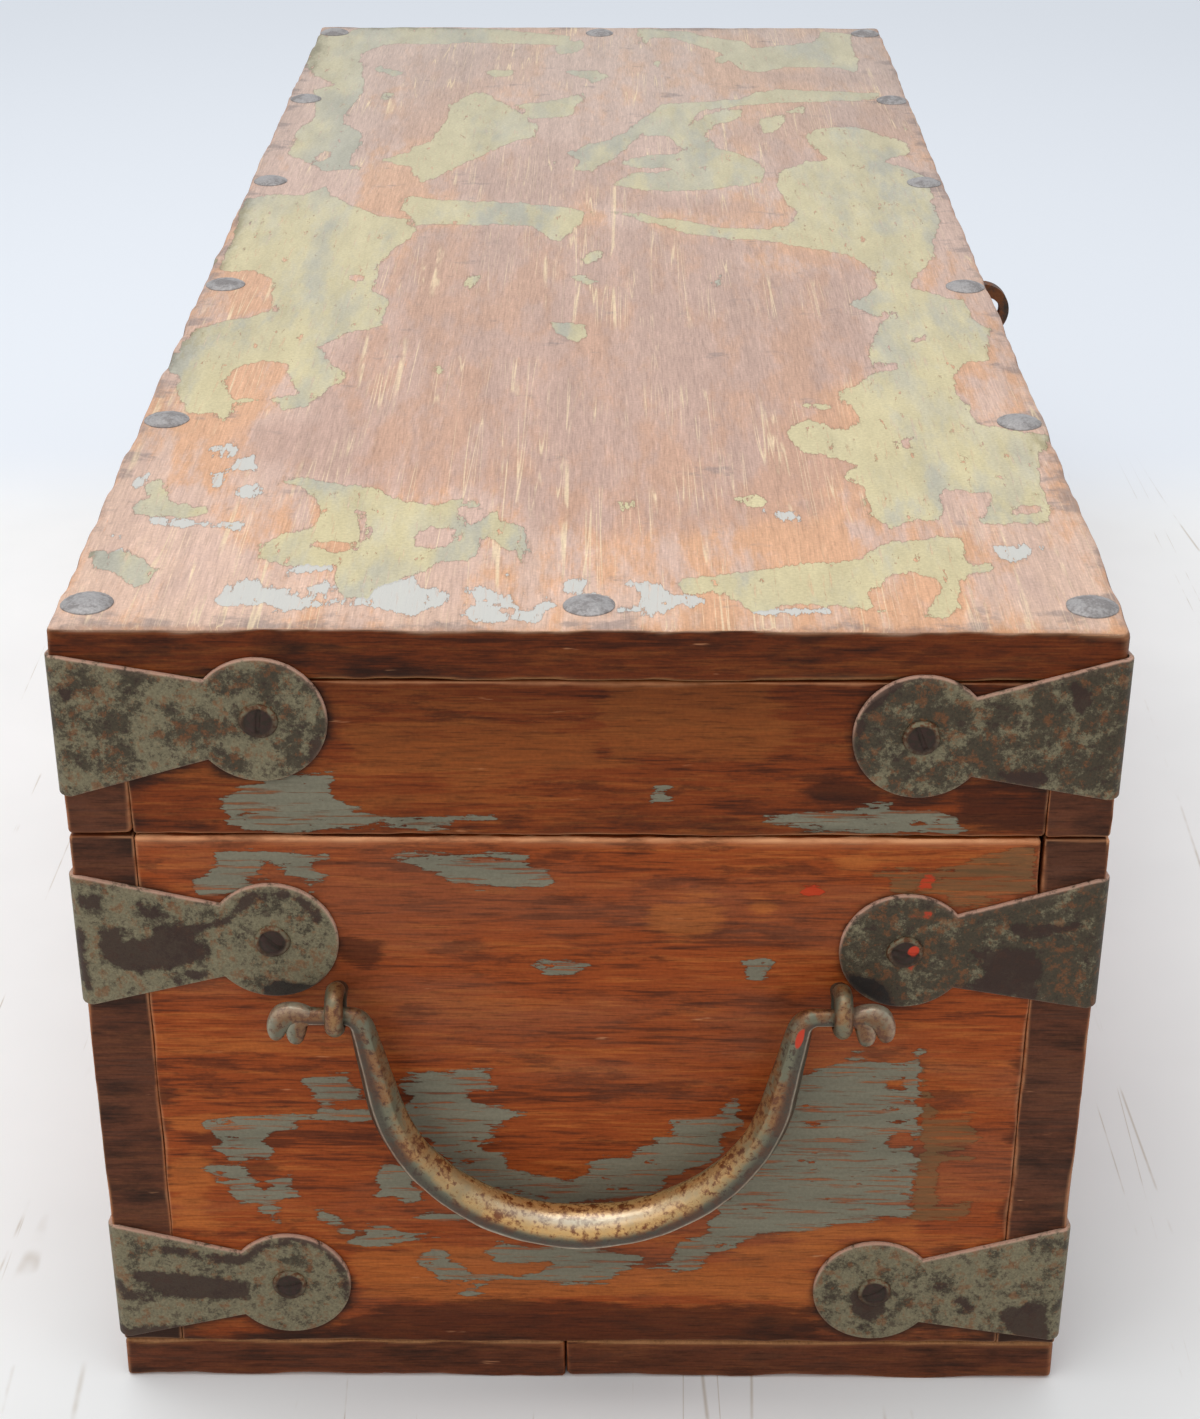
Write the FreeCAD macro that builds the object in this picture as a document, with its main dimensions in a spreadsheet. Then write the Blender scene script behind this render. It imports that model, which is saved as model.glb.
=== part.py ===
import FreeCAD, Part
import math
import os
import Sketcher

# A plain teak travelling chest, narrow and long, with a lift-up lid.
# Frame: +Z up, origin on the floor under the middle of the chest.  The long axis is Y.
# -Y is the near end, +Y the far end, +X the front (hasp side) and -X the back (hinge side).

doc = FreeCAD.newDocument("teak_chest")

# ---------------------------------------------------------------- driving dimensions

SIZES = {
    # carcase
    "chest_length": (596.0, "outside length, end to end"),
    "chest_width": (240.0, "outside width, front to back"),
    "board": (15.0, "thickness of the side, end and rim boards"),
    "bottom_board": (12.0, "thickness of the bottom planks"),
    "top_board": (13.0, "thickness of the lid's top board"),
    "body_height": (162.7, "floor to the top edge of the body"),
    "lid_gap": (0.6, "open joint between body and lid"),
    "rim_height": (39.7, "height of the four lid rim boards"),
    "edge_radius": (2.0, "upright outer corners of the side boards"),
    "top_corner": (4.0, "corners of the top board and bottom planks"),
    "top_edge": (1.2, "worn upper edge of the top board"),
    "plank_joint": (-6.0, "where the two bottom planks meet, across the chest"),
    "plank_gap": (0.4, "open joint between the bottom planks"),
    # sheet-iron corner straps
    "strap_sheet": (1.2, "thickness of the corner straps"),
    "strap_width": (35.5, "width of a strap at the corner"),
    "strap_neck": (20.0, "width where the arm meets its round end"),
    "strap_disc": (31.0, "diameter of the round end"),
    "strap_reach": (45.5, "corner to the middle of the round end"),
    "lid_strap_drop": (24.5, "top of the chest to the middle of the lid straps"),
    "upper_strap_drop": (28.2, "top of the body to the middle of the upper straps"),
    "lower_strap_rise": (19.8, "top of the bottom planks to the middle of the lower straps"),
    # hand fitting of the near end's straps: how far the round end sits above its own corner,
    # and past the usual reach
    "lid_near_back_up": (2.0, "lid strap at the near back corner, round end raised"),
    "lid_near_back_on": (0.3, "lid strap at the near back corner, longer reach"),
    "lid_near_front_up": (-1.8, "lid strap at the near front corner, round end dropped"),
    "lid_near_front_on": (-0.3, "lid strap at the near front corner, shorter reach"),
    "upper_near_back_up": (0.4, "upper strap at the near back corner, round end raised"),
    "upper_near_back_on": (0.1, "upper strap at the near back corner, longer reach"),
    "upper_near_front_up": (-2.0, "upper strap at the near front corner, round end dropped"),
    "upper_near_front_on": (0.1, "upper strap at the near front corner, longer reach"),
    "lower_near_back_up": (-0.3, "lower strap at the near back corner, round end dropped"),
    "lower_near_back_on": (-1.6, "lower strap at the near back corner, shorter reach"),
    "lower_near_front_up": (-2.0, "lower strap at the near front corner, round end dropped"),
    "lower_near_front_on": (2.0, "lower strap at the near front corner, longer reach"),
    # fasteners
    "screw_head": (4.2, "radius of a strap screw's head"),
    "screw_dome": (1.7, "height of a strap screw's head"),
    "screw_shank": (1.9, "radius of a strap screw's shank"),
    "screw_length": (12.0, "strap screw, under the head"),
    "small_head": (3.1, "radius of a hinge or hasp screw's head"),
    "small_dome": (1.6, "height of a hinge or hasp screw's head"),
    "small_shank": (1.5, "radius of a hinge or hasp screw's shank"),
    "small_length": (11.0, "hinge or hasp screw, under the head"),
    "screw_slot": (1.2, "width of a screw's slot"),
    "slot_depth": (0.7, "depth of a screw's slot"),
    "dome_head": (6.0, "radius of a lid nail's domed head"),
    "dome_rise": (1.8, "height of a lid nail's domed head"),
    "dome_shank": (1.5, "radius of a lid nail's shank"),
    "dome_length": (31.0, "lid nail, under the head"),
    "dome_inset_side": (7.0, "long edge of the lid to its nails"),
    "dome_inset_end": (12.5, "short edge of the lid to its nails"),
    "nail_head": (2.6, "radius of a flush nail's head"),
    "nail_head_deep": (1.0, "thickness of a flush nail's head"),
    "nail_shank": (1.4, "radius of a flush nail's shank"),
    "nail_length": (34.0, "flush nail, head included"),
    "drill_gap": (0.05, "radial room round a shank in its hole"),
    # drop handles and their eyes
    "pivot_below_strap": (15.2, "middle of the upper straps to the handle's pivot axis"),
    "pivot_out": (9.0, "end face to the handle's pivot axis"),
    "eye_lap": (0.5, "edge of a strap's round end to the middle of the eye, across the end"),
    "eye_wire": (2.25, "radius of the eye's half-round wire"),
    "eye_inner": (4.3, "eye ring, centre to the flat inner face of its wire"),
    "eye_play": (0.3, "gap under the neck where it hangs in the eye"),
    "clench_length": (11.0, "each leg of the eye, bent flat inside"),
    "bail_drop": (62.3, "pivot axis to the middle of the grip"),
    "bail_splay": (11.4, "lean of the legs from upright, in degrees"),
    "bail_bend": (4.0, "bend between leg and neck, at the middle of the bar"),
    "eye_past_bend": (4.0, "end of the bend to the middle of the eye"),
    "near_slide": (-1.8, "how far the near handle has slid along in its eyes"),
    "far_slide": (0.8, "how far the far handle has slid along in its eyes"),
    "grip_radius": (5.6, "bar radius at the middle of the grip"),
    "shoulder_radius": (4.9, "bar radius halfway round to the leg"),
    "leg_radius": (4.2, "bar radius at the foot of the leg"),
    "bend_radius": (3.1, "bar radius at the top of the leg"),
    "neck_radius": (2.2, "bar radius in the eye"),
    "tail_start": (6.4, "eye to the dip before the flared end"),
    "tail_thick": (3.8, "thickness of the flared end"),
    "tail_inner": (5.7, "eye to the inner side of the flared end"),
    "tail_crown": (10.6, "eye to the flared end's highest point"),
    "tail_rise": (2.8, "pivot axis to the flared end's highest point"),
    "tail_reach": (13.3, "eye to the flared end's outermost point"),
    "tail_cheek": (4.0, "pivot axis down to the outermost point"),
    "tail_tip": (7.4, "eye to the tip of the outer toe"),
    "tail_drop": (9.2, "pivot axis down to the tip of the outer toe"),
    "cleft_in": (9.0, "eye to the head of the cleft between the two toes"),
    "cleft_drop": (3.4, "pivot axis down to the head of the cleft"),
    "toe_tip": (6.4, "eye to the tip of the inner toe"),
    "toe_short": (0.8, "inner toe shorter than the outer one"),
    # hinges and hasp
    "hinge_at": (150.0, "middle of the chest to the middle of a hinge"),
    "leaf_width": (60.0, "hinge leaf along the pin"),
    "leaf_height": (30.0, "hinge leaf across the pin"),
    "leaf_sheet": (1.5, "thickness of the hinge, hasp and washer iron"),
    "barrel": (4.0, "outer radius of a hinge knuckle"),
    "barrel_out": (0.3, "gap between a knuckle and the board"),
    "pin_play": (0.1, "radial play of a pin in its knuckles"),
    "knuckle_gap": (0.4, "gap between two knuckles, end to end"),
    "hinge_screw_low": (12.0, "pin axis to the outer screws of a leaf"),
    "hinge_screw_high": (22.0, "pin axis to the middle screw of a leaf"),
    "hinge_screw_apart": (20.0, "middle screw to an outer screw"),
    "hasp_drop": (14.7, "top of the body to the hasp's pin"),
    "hasp_plate_width": (44.0, "hasp plate along the pin"),
    "hasp_plate_height": (26.0, "hasp plate below the pin"),
    "hasp_screw_side": (15.0, "middle of the hasp plate to its screws"),
    "hasp_screw_low": (18.0, "hasp pin to the screws"),
    "arm_width": (24.0, "width of the swinging hasp"),
    "arm_past_slot": (11.5, "slot to the end of the swinging hasp"),
    "slot_play": (1.5, "room in the hasp's slot round the lug"),
    "lug_from_pin": (42.0, "hasp pin to the middle of the padlock lug"),
    "lug_half": (9.0, "half height of the lug, and its round end"),
    "lug_thick": (4.0, "thickness of the lug"),
    "lug_straight": (7.0, "board to the middle of the lug's round end"),
    "lug_hole": (4.5, "radius of the padlock hole"),
    "lug_hole_out": (8.5, "board to the middle of the padlock hole"),
    "tang_half": (5.0, "half height of the lug's tang"),
    "washer_half": (9.0, "half width of the square washer inside"),
}

sheet = doc.addObject("Spreadsheet::Sheet", "Sizes")
for row, (alias, (value, note)) in enumerate(SIZES.items(), start=1):
    sheet.set(f"A{row}", alias)
    sheet.set(f"B{row}", str(value))
    sheet.set(f"C{row}", note)
    sheet.setAlias(f"B{row}", alias)
doc.recompute()


class Size:
    """A length that keeps its value and its spreadsheet expression together through sums."""

    def __init__(self, value, text):
        self.value = float(value)
        self.text = text

    @staticmethod
    def of(other):
        return other if isinstance(other, Size) else Size(other, repr(float(other)))

    def _joined(self, other, value, sign):
        return Size(value, f"({self.text} {sign} {other.text})")

    def __add__(self, other):
        other = Size.of(other)
        return self._joined(other, self.value + other.value, "+")

    def __sub__(self, other):
        other = Size.of(other)
        return self._joined(other, self.value - other.value, "-")

    def __mul__(self, other):
        other = Size.of(other)
        return self._joined(other, self.value * other.value, "*")

    def __truediv__(self, other):
        other = Size.of(other)
        return self._joined(other, self.value / other.value, "/")

    def __radd__(self, other):
        return Size.of(other) + self

    def __rsub__(self, other):
        return Size.of(other) - self

    def __rmul__(self, other):
        return Size.of(other) * self

    def __neg__(self):
        return Size(-self.value, f"(0 - {self.text})")

    def root(self):
        return Size(math.sqrt(self.value), f"sqrt({self.text})")

    def sine(self):
        return Size(math.sin(math.radians(self.value)), f"sin({self.text})")

    def cosine(self):
        return Size(math.cos(math.radians(self.value)), f"cos({self.text})")


def size(alias):
    return Size(SIZES[alias][0], f"Sizes.{alias}")


ZERO = Size.of(0.0)

# ---------------------------------------------------------------- levels and places

half_length = size("chest_length") / 2
half_width = size("chest_width") / 2
board = size("board")
body_top = size("body_height")
floor_top = size("bottom_board")
seam = body_top + size("lid_gap") / 2
rim_bottom = body_top + size("lid_gap")
rim_top = rim_bottom + size("rim_height")
lid_top = rim_top + size("top_board")

lid_strap_level = lid_top - size("lid_strap_drop")
upper_strap_level = body_top - size("upper_strap_drop")
lower_strap_level = floor_top + size("lower_strap_rise")

disc_radius = size("strap_disc") / 2
pivot_level = upper_strap_level - size("pivot_below_strap")
eye_across = half_width - size("strap_reach") - disc_radius + size("eye_lap")
eye_level = pivot_level + size("eye_inner") - size("neck_radius") - size("eye_play")

barrel_axis = size("barrel") + size("barrel_out")
bore = size("barrel") - size("leaf_sheet")
hasp_level = body_top - size("hasp_drop")
lug_level = hasp_level + size("lug_from_pin")

# Each wall is seen from outside: "along" runs to the right, "height" up and "out" towards
# the viewer.  A piece on a wall is drawn in X (along), Z (height) and -Y (out), then turned.
# Going round the chest, each wall stands a quarter turn on from the last.
WALLS = ("near", "front", "far", "back")
WALL_TURN = {wall: 90 * quarters for quarters, wall in enumerate(WALLS)}
LONG_WALLS = ("front", "back")
END_WALLS = ("near", "far")

# The two walls that meet at each corner: the one to the viewer's left of the edge when the
# corner is seen from outside, then the one to the right.
CORNER_WALLS = {
    "near_front": ("near", "front"),
    "far_front": ("front", "far"),
    "far_back": ("far", "back"),
    "near_back": ("back", "near"),
}


def on_wall(wall, along, height, out=ZERO):
    """Point of a wall as X, Y, Z of the chest."""
    if wall == "near":
        return along, -(half_length + out), height
    if wall == "front":
        return half_width + out, along, height
    if wall == "far":
        return -along, half_length + out, height
    return -(half_width + out), -along, height


def half_of(wall):
    """Half the outside length of a wall."""
    return half_width if wall in END_WALLS else half_length


def at_corner(corner, height):
    """Sharp outer corner of the chest, at a height."""
    across = half_width if corner.endswith("front") else -half_width
    length = -half_length if corner.startswith("near") else half_length
    return across, length, height


# ---------------------------------------------------------------- document helpers


def bind(thing, **sizes):
    """Give properties their values and tie them to the spreadsheet."""
    for name, length in sizes.items():
        length = Size.of(length)
        setattr(thing, name, length.value)
        thing.setExpression(name, length.text)


def put(thing, point, turn=0, tilt=0):
    """Place a thing: tilt about X first, then turn about Z, then move to the point."""
    turned = FreeCAD.Rotation(FreeCAD.Vector(0, 0, 1), turn)
    tilted = FreeCAD.Rotation(FreeCAD.Vector(1, 0, 0), tilt)
    lengths = [Size.of(length) for length in point]
    base = FreeCAD.Vector(*[length.value for length in lengths])
    thing.Placement = FreeCAD.Placement(base, turned.multiply(tilted))
    for axis, length in zip("xyz", lengths):
        thing.setExpression(f"Placement.Base.{axis}", length.text)
    return thing


def new_body(label, point=(0, 0, 0), turn=0):
    body = doc.addObject("PartDesign::Body", label)
    body.Label = label
    return put(body, point, turn)


def plane_of(body, role):
    return next(plane for plane in body.Origin.OriginFeatures if plane.Role == role)


def new_sketch(body, role, offset=(0, 0, 0), lean=0):
    """Sketch on one of the body's own origin planes, moved by an offset in the sketch's axes
    and leaned about its X axis."""
    sketch = body.newObject("Sketcher::SketchObject", f"{body.Name}_sketch")
    sketch.AttachmentSupport = (plane_of(body, role), [""])
    sketch.MapMode = "FlatFace"
    lengths = [Size.of(length) for length in offset]
    base = FreeCAD.Vector(*[length.value for length in lengths])
    lean = Size.of(lean)
    leaned = FreeCAD.Rotation(FreeCAD.Vector(1, 0, 0), lean.value)
    sketch.AttachmentOffset = FreeCAD.Placement(base, leaned)
    for axis, length in zip("xyz", lengths):
        sketch.setExpression(f"AttachmentOffset.Base.{axis}", length.text)
    return sketch


def pin_point(sketch, geometry, corner, point):
    """Hold one point of a sketch at a bound distance from the sketch's origin."""
    for kind, length in zip(("DistanceX", "DistanceY"), point):
        length = Size.of(length)
        index = sketch.addConstraint(
            Sketcher.Constraint(kind, -1, 1, geometry, corner, length.value)
        )
        sketch.setExpression(f"Constraints[{index}]", length.text)


def pin_radius(sketch, geometry, radius):
    index = sketch.addConstraint(Sketcher.Constraint("Radius", geometry, radius.value))
    sketch.setExpression(f"Constraints[{index}]", radius.text)


def pin_middle(sketch, geometry, here, there):
    """Hold the centre of half a circle level with its ends, or in line above them."""
    level = abs((flat(there) - flat(here)).y) < 1e-9
    kind, length = ("DistanceY", Size.of(here[1])) if level else ("DistanceX", Size.of(here[0]))
    index = sketch.addConstraint(Sketcher.Constraint(kind, -1, 1, geometry, 3, length.value))
    sketch.setExpression(f"Constraints[{index}]", length.text)


def arc_between(start, end, radius, turn, large):
    """Arc from start to end; turn is +1 to bend left on the way and -1 to bend right."""
    chord = end - start
    rise = math.sqrt(max(radius * radius - chord.Length * chord.Length / 4, 0.0))
    side = FreeCAD.Vector(-chord.y, chord.x, 0).normalize()
    centre = (start + end) * 0.5 + side * rise * turn * (-1 if large else 1)
    first, last = (start, end) if turn > 0 else (end, start)
    angles = [math.atan2(point.y - centre.y, point.x - centre.x) for point in (first, last)]
    circle = Part.Circle(centre, FreeCAD.Vector(0, 0, 1), radius)
    return Part.ArcOfCircle(circle, angles[0], angles[1])


def flat(point):
    return FreeCAD.Vector(*[Size.of(length).value for length in point], 0)


def draw(sketch, start, steps, closed=True):
    """Draw a run of lines and arcs.

    A step is ("line", point), ("arc", point, radius, turn, large) or ("half", point, turn)
    for half a circle between two points level with each other, or one above the other.  The
    last step of a closed run comes back to the start.
    """
    here = start
    joints = []
    for step in steps:
        there = step[1]
        if step[0] == "line":
            index = sketch.addGeometry(Part.LineSegment(flat(here), flat(there)))
            ends = (1, 2)
        elif step[0] == "arc":
            radius, turn, large = step[2:]
            arc = arc_between(flat(here), flat(there), radius.value, turn, large)
            index = sketch.addGeometry(arc)
            pin_radius(sketch, index, radius)
            ends = (1, 2) if turn > 0 else (2, 1)
        else:
            turn = step[2]
            half_chord = (flat(there) - flat(here)).Length / 2
            arc = arc_between(flat(here), flat(there), half_chord, turn, False)
            index = sketch.addGeometry(arc)
            pin_middle(sketch, index, here, there)
            ends = (1, 2) if turn > 0 else (2, 1)
        pin_point(sketch, index, ends[0], here)
        if joints:
            sketch.addConstraint(Sketcher.Constraint("Coincident", *joints[-1], index, ends[0]))
        joints.append((index, ends[1]))
        here = there
    if closed:
        first_end = 2 if steps[0][0] == "arc" and steps[0][3] < 0 else 1
        sketch.addConstraint(Sketcher.Constraint("Coincident", *joints[-1], 0, first_end))
    else:
        pin_point(sketch, joints[-1][0], joints[-1][1], here)
    return sketch


def polygon(sketch, points):
    return draw(sketch, points[0], [("line", point) for point in points[1:] + points[:1]])


def rectangle(sketch, low, high):
    return polygon(sketch, [low, (high[0], low[1]), high, (low[0], high[1])])


def circle(sketch, centre, radius):
    radius = Size.of(radius)
    index = sketch.addGeometry(Part.Circle(flat(centre), FreeCAD.Vector(0, 0, 1), radius.value))
    pin_radius(sketch, index, radius)
    pin_point(sketch, index, 3, centre)
    return sketch


def pad(body, sketch, length, reverse=False, both=False):
    feature = body.newObject("PartDesign::Pad", f"{body.Name}_pad")
    feature.Profile = sketch
    feature.Reversed = reverse
    feature.Midplane = both
    bind(feature, Length=length)
    return feature


def cut_through(body, sketch):
    """Pocket both ways through the whole body."""
    feature = body.newObject("PartDesign::Pocket", f"{body.Name}_pocket")
    feature.Profile = sketch
    feature.Type = "ThroughAll"
    feature.Midplane = True
    return feature


def turn_profile(body, sketch, axis="V_Axis"):
    feature = body.newObject("PartDesign::Revolution", f"{body.Name}_revolution")
    feature.Profile = sketch
    feature.ReferenceAxis = (sketch, [axis])
    feature.Angle = 360.0
    return feature


def rounded_corner_run(low, high, radius, corners):
    """Rectangle whose named corners are rounded, as a start point and steps."""
    order = [
        ("low_right", (high[0], low[1]), (-1, 0), (0, 1)),
        ("high_right", high, (0, -1), (-1, 0)),
        ("high_left", (low[0], high[1]), (1, 0), (0, -1)),
        ("low_left", low, (0, 1), (1, 0)),
    ]
    start = (low[0] + (radius if "low_left" in corners else 0), low[1])
    steps = []
    for name, point, before, after in order:
        if name in corners:
            first = (point[0] + radius * before[0], point[1] + radius * before[1])
            second = (point[0] + radius * after[0], point[1] + radius * after[1])
            steps += [("line", first), ("arc", second, radius, 1, False)]
        elif name != "low_left":
            steps.append(("line", point))
        else:
            steps.append(("line", start))
    return start, steps


# ---------------------------------------------------------------- boards and their holes

drilled = {}


def board_blank(node, outline, level, height):
    """Board drawn in plan (start, steps) and padded up from its level."""
    blank = new_body(f"{node}_blank", (0, 0, level))
    sketch = new_sketch(blank, "XY_Plane")
    draw(sketch, *outline)
    pad(blank, sketch, height)
    drilled[node] = (blank, [])
    return blank


def drill(node, point, turn, tilt, radius, depth):
    """Round hole in a board, from the point along the tool's own upright axis."""
    tool = doc.addObject("Part::Cylinder", f"{node}_drill")
    bind(tool, Radius=radius + size("drill_gap"), Height=depth + size("drill_gap"))
    put(tool, point, turn, tilt)
    drilled[node][1].append(tool)


def drill_wall(node, wall, along, height, radius, depth):
    """Hole straight into a wall, from its outer face."""
    drill(node, on_wall(wall, along, height), WALL_TURN[wall], -90, radius, depth)


def finish_boards():
    """Cut each board's holes; the drilled board takes the node's name."""
    boards = {}
    for node, (blank, tools) in drilled.items():
        holes = doc.addObject("Part::Compound", f"{node}_holes")
        holes.Links = tools
        cut = doc.addObject("Part::Cut", node)
        cut.Label = node
        cut.Base = blank
        cut.Tool = holes
        boards[node] = cut
    return boards


def side_outline(wall):
    """Plan of a side board: full length, outer corners eased."""
    if wall == "front":
        low, high = (half_width - board, -half_length), (half_width, half_length)
        corners = ("low_right", "high_right")
    else:
        low, high = (-half_width, -half_length), (board - half_width, half_length)
        corners = ("low_left", "high_left")
    return rounded_corner_run(low, high, size("edge_radius"), corners)


def end_outline(wall):
    """Plan of an end board, held between the side boards."""
    reach = half_width - board
    near_edge = -half_length if wall == "near" else half_length - board
    return rounded_corner_run((-reach, near_edge), (reach, near_edge + board), ZERO, ())


body_wall_height = body_top - floor_top
for wall in LONG_WALLS:
    board_blank(f"side_board_{wall}", side_outline(wall), floor_top, body_wall_height)
    board_blank(f"lid_rim_{wall}", side_outline(wall), rim_bottom, size("rim_height"))
for wall in END_WALLS:
    board_blank(f"end_board_{wall}", end_outline(wall), floor_top, body_wall_height)
    board_blank(f"lid_rim_{wall}", end_outline(wall), rim_bottom, size("rim_height"))

plank_edge_front = size("plank_joint") + size("plank_gap") / 2
plank_edge_back = size("plank_joint") - size("plank_gap") / 2
front_plank = rounded_corner_run(
    (plank_edge_front, -half_length), (half_width, half_length),
    size("top_corner"), ("low_right", "high_right"),
)
back_plank = rounded_corner_run(
    (-half_width, -half_length), (plank_edge_back, half_length),
    size("top_corner"), ("low_left", "high_left"),
)
board_blank("bottom_plank_front", front_plank, ZERO, floor_top)
board_blank("bottom_plank_back", back_plank, ZERO, floor_top)

all_corners = ("low_left", "low_right", "high_right", "high_left")
top_outline = rounded_corner_run(
    (-half_width, -half_length), (half_width, half_length), size("top_corner"), all_corners
)
top_blank = board_blank("lid_top_board", top_outline, rim_top, size("top_board"))
doc.recompute()


def level_edges(shape, level):
    """Names of the edges that lie wholly at a height of the body's own frame."""
    names = []
    for index, edge in enumerate(shape.Edges, start=1):
        if all(abs(vertex.Z - level) < 1e-6 for vertex in edge.Vertexes):
            names.append(f"Edge{index}")
    return names


top_pad = top_blank.Tip
worn_edge = top_blank.newObject("PartDesign::Fillet", "top_board_worn_edge")
worn_edge.Base = (top_pad, level_edges(top_pad.Shape, size("top_board").value))
bind(worn_edge, Radius=size("top_edge"))

# ---------------------------------------------------------------- corner straps

strap_half = size("strap_width") / 2
neck_half = size("strap_neck") / 2
disc_from_neck = (disc_radius * disc_radius - neck_half * neck_half).root()


def hand_fit(row_name, wall, corner):
    """How far a strap's round end on a wall sits up, and on past the usual reach."""
    if wall != "near":
        return ZERO, ZERO
    name = f"{row_name.split('_')[0]}_{corner}"
    return size(f"{name}_up"), size(f"{name}_on")


def strap_arm(body, role, way, up, on):
    """Tapered arm with a round, drilled end, drawn outwards from the bend."""
    bend = size("edge_radius")
    reach = size("strap_reach") + on
    neck_reach = reach - disc_from_neck
    sketch = new_sketch(body, role)
    start = (bend * way, -strap_half * way)
    steps = [
        ("line", (neck_reach * way, up - neck_half * way)),
        ("arc", (neck_reach * way, up + neck_half * way), disc_radius, 1, True),
        ("line", (bend * way, strap_half * way)),
        ("line", start),
    ]
    draw(sketch, start, steps)
    circle(sketch, (reach * way, up), size("screw_shank") + size("drill_gap"))
    pad(body, sketch, size("strap_sheet"))


def corner_strap(node, row_name, corner, level):
    """Sheet-iron strap bent round one upright corner of the chest."""
    bend = size("edge_radius")
    sheet_iron = size("strap_sheet")
    left_wall, right_wall = CORNER_WALLS[corner]
    body = new_body(node, at_corner(corner, level), WALL_TURN[left_wall])
    sketch = new_sketch(body, "XY_Plane")
    start = (-bend, -sheet_iron)
    steps = [
        ("arc", (sheet_iron, bend), bend + sheet_iron, 1, False),
        ("line", (0, bend)),
        ("arc", (-bend, 0), bend, -1, False),
        ("line", start),
    ]
    draw(sketch, start, steps)
    pad(body, sketch, size("strap_width"), both=True)
    strap_arm(body, "XZ_Plane", -1, *hand_fit(row_name, left_wall, corner))
    strap_arm(body, "YZ_Plane", 1, *hand_fit(row_name, right_wall, corner))
    return body


STRAPS = {
    "lid_strap": lid_strap_level,
    "upper_strap": upper_strap_level,
    "lower_strap": lower_strap_level,
}
straps = {}
for row_name, level in STRAPS.items():
    for corner in CORNER_WALLS:
        node = f"{row_name}_{corner}"
        straps[node] = corner_strap(node, row_name, corner, level)

# ---------------------------------------------------------------- fasteners


def dome_of(rim, rise):
    """Radius of the sphere under a domed head."""
    return (rim * rim + rise * rise) / (rise * 2)


def domed_profile(sketch, rim, rise, shank, length, point, out):
    """Half profile of a domed head on a pointed shank; out is the sign of the head's side."""
    start = (0, rise * out)
    steps = [
        ("arc", (rim, 0), dome_of(rim, rise), -out, False),
        ("line", (shank, 0)),
        ("line", (shank, -(length - point) * out)),
        ("line", (0, -length * out)),
        ("line", start),
    ]
    return draw(sketch, start, steps)


def slotted_screw(name, rim, rise, shank, length):
    """Domed, slotted wood screw; the head faces -Y, its underside at the origin."""
    screw = new_body(name)
    sketch = new_sketch(screw, "XY_Plane")
    domed_profile(sketch, rim, rise, shank, length, shank * 2, -1)
    turn_profile(screw, sketch)
    slot = new_sketch(screw, "YZ_Plane")
    half_slot = size("screw_slot") / 2
    rectangle(slot, (-rise * 2, -half_slot), (size("slot_depth") - rise, half_slot))
    cut_through(screw, slot)
    return screw


strap_screw = slotted_screw(
    "strap_screw", size("screw_head"), size("screw_dome"), size("screw_shank"),
    size("screw_length"),
)
small_screw = slotted_screw(
    "small_screw", size("small_head"), size("small_dome"), size("small_shank"),
    size("small_length"),
)

# Lid nail: upright, domed head on top, its underside at the origin.
dome_nail = new_body("dome_nail")
nail_sketch = new_sketch(dome_nail, "XZ_Plane")
domed_profile(
    nail_sketch, size("dome_head"), size("dome_rise"), size("dome_shank"),
    size("dome_length"), size("dome_shank") * 3, 1,
)
turn_profile(dome_nail, nail_sketch)

# Flush nail: upright, head down and level with the origin, shank up.
flush_nail = new_body("flush_nail")
nail_sketch = new_sketch(flush_nail, "XZ_Plane")
nail_tip = size("nail_shank") * 3
polygon(nail_sketch, [
    (0, 0),
    (size("nail_head"), 0),
    (size("nail_head"), size("nail_head_deep")),
    (size("nail_shank"), size("nail_head_deep")),
    (size("nail_shank"), size("nail_length") - nail_tip),
    (0, size("nail_length")),
])
turn_profile(flush_nail, nail_sketch)

groups = {}


def copy_into(group, master, point, turn=0, tilt=0):
    """One more copy of a master fastener in a group of like ones."""
    link = doc.addObject("App::Link", f"{group}_item")
    link.LinkedObject = master
    put(link, point, turn, tilt)
    groups.setdefault(group, []).append(link)


def finish_groups():
    nodes = {}
    for group, links in groups.items():
        node = doc.addObject("Part::Compound", group)
        node.Label = group
        node.Links = links
        nodes[group] = node
    return nodes


def screw_on_wall(group, node, wall, along, height, sheet_iron, master, shank, length):
    """Screw through a sheet of iron on a wall, with its hole in the board behind."""
    copy_into(group, master, on_wall(wall, along, height, sheet_iron), WALL_TURN[wall])
    drill_wall(node, wall, along, height, shank, length - sheet_iron)


def flush_nail_in(group, nodes, point, turn=0, tilt=0):
    """Flush nail with a sunk head, through the first board and into the second."""
    copy_into(group, flush_nail, point, turn, tilt)
    drill(nodes[0], point, turn, tilt, size("nail_head"), size("nail_head_deep"))
    for node in nodes:
        drill(node, point, turn, tilt, size("nail_shank"), size("nail_length"))


# Strap screws: one in every round end, on all four walls.
STRAP_SCREWS = {
    "lid_strap": ("lid_strap_screws", "lid_rim", "lid_rim"),
    "upper_strap": ("chest_strap_screws", "side_board", "end_board"),
    "lower_strap": ("chest_strap_screws", "side_board", "end_board"),
}
for row_name, (group, long_board, end_board) in STRAP_SCREWS.items():
    for corner, walls in CORNER_WALLS.items():
        for wall, side in zip(walls, (1, -1)):
            up, on = hand_fit(row_name, wall, corner)
            node = f"{long_board if wall in LONG_WALLS else end_board}_{wall}"
            along = (half_of(wall) - size("strap_reach") - on) * side
            screw_on_wall(
                group, node, wall, along, STRAPS[row_name] + up, size("strap_sheet"),
                strap_screw, size("screw_shank"), size("screw_length"),
            )

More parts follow.
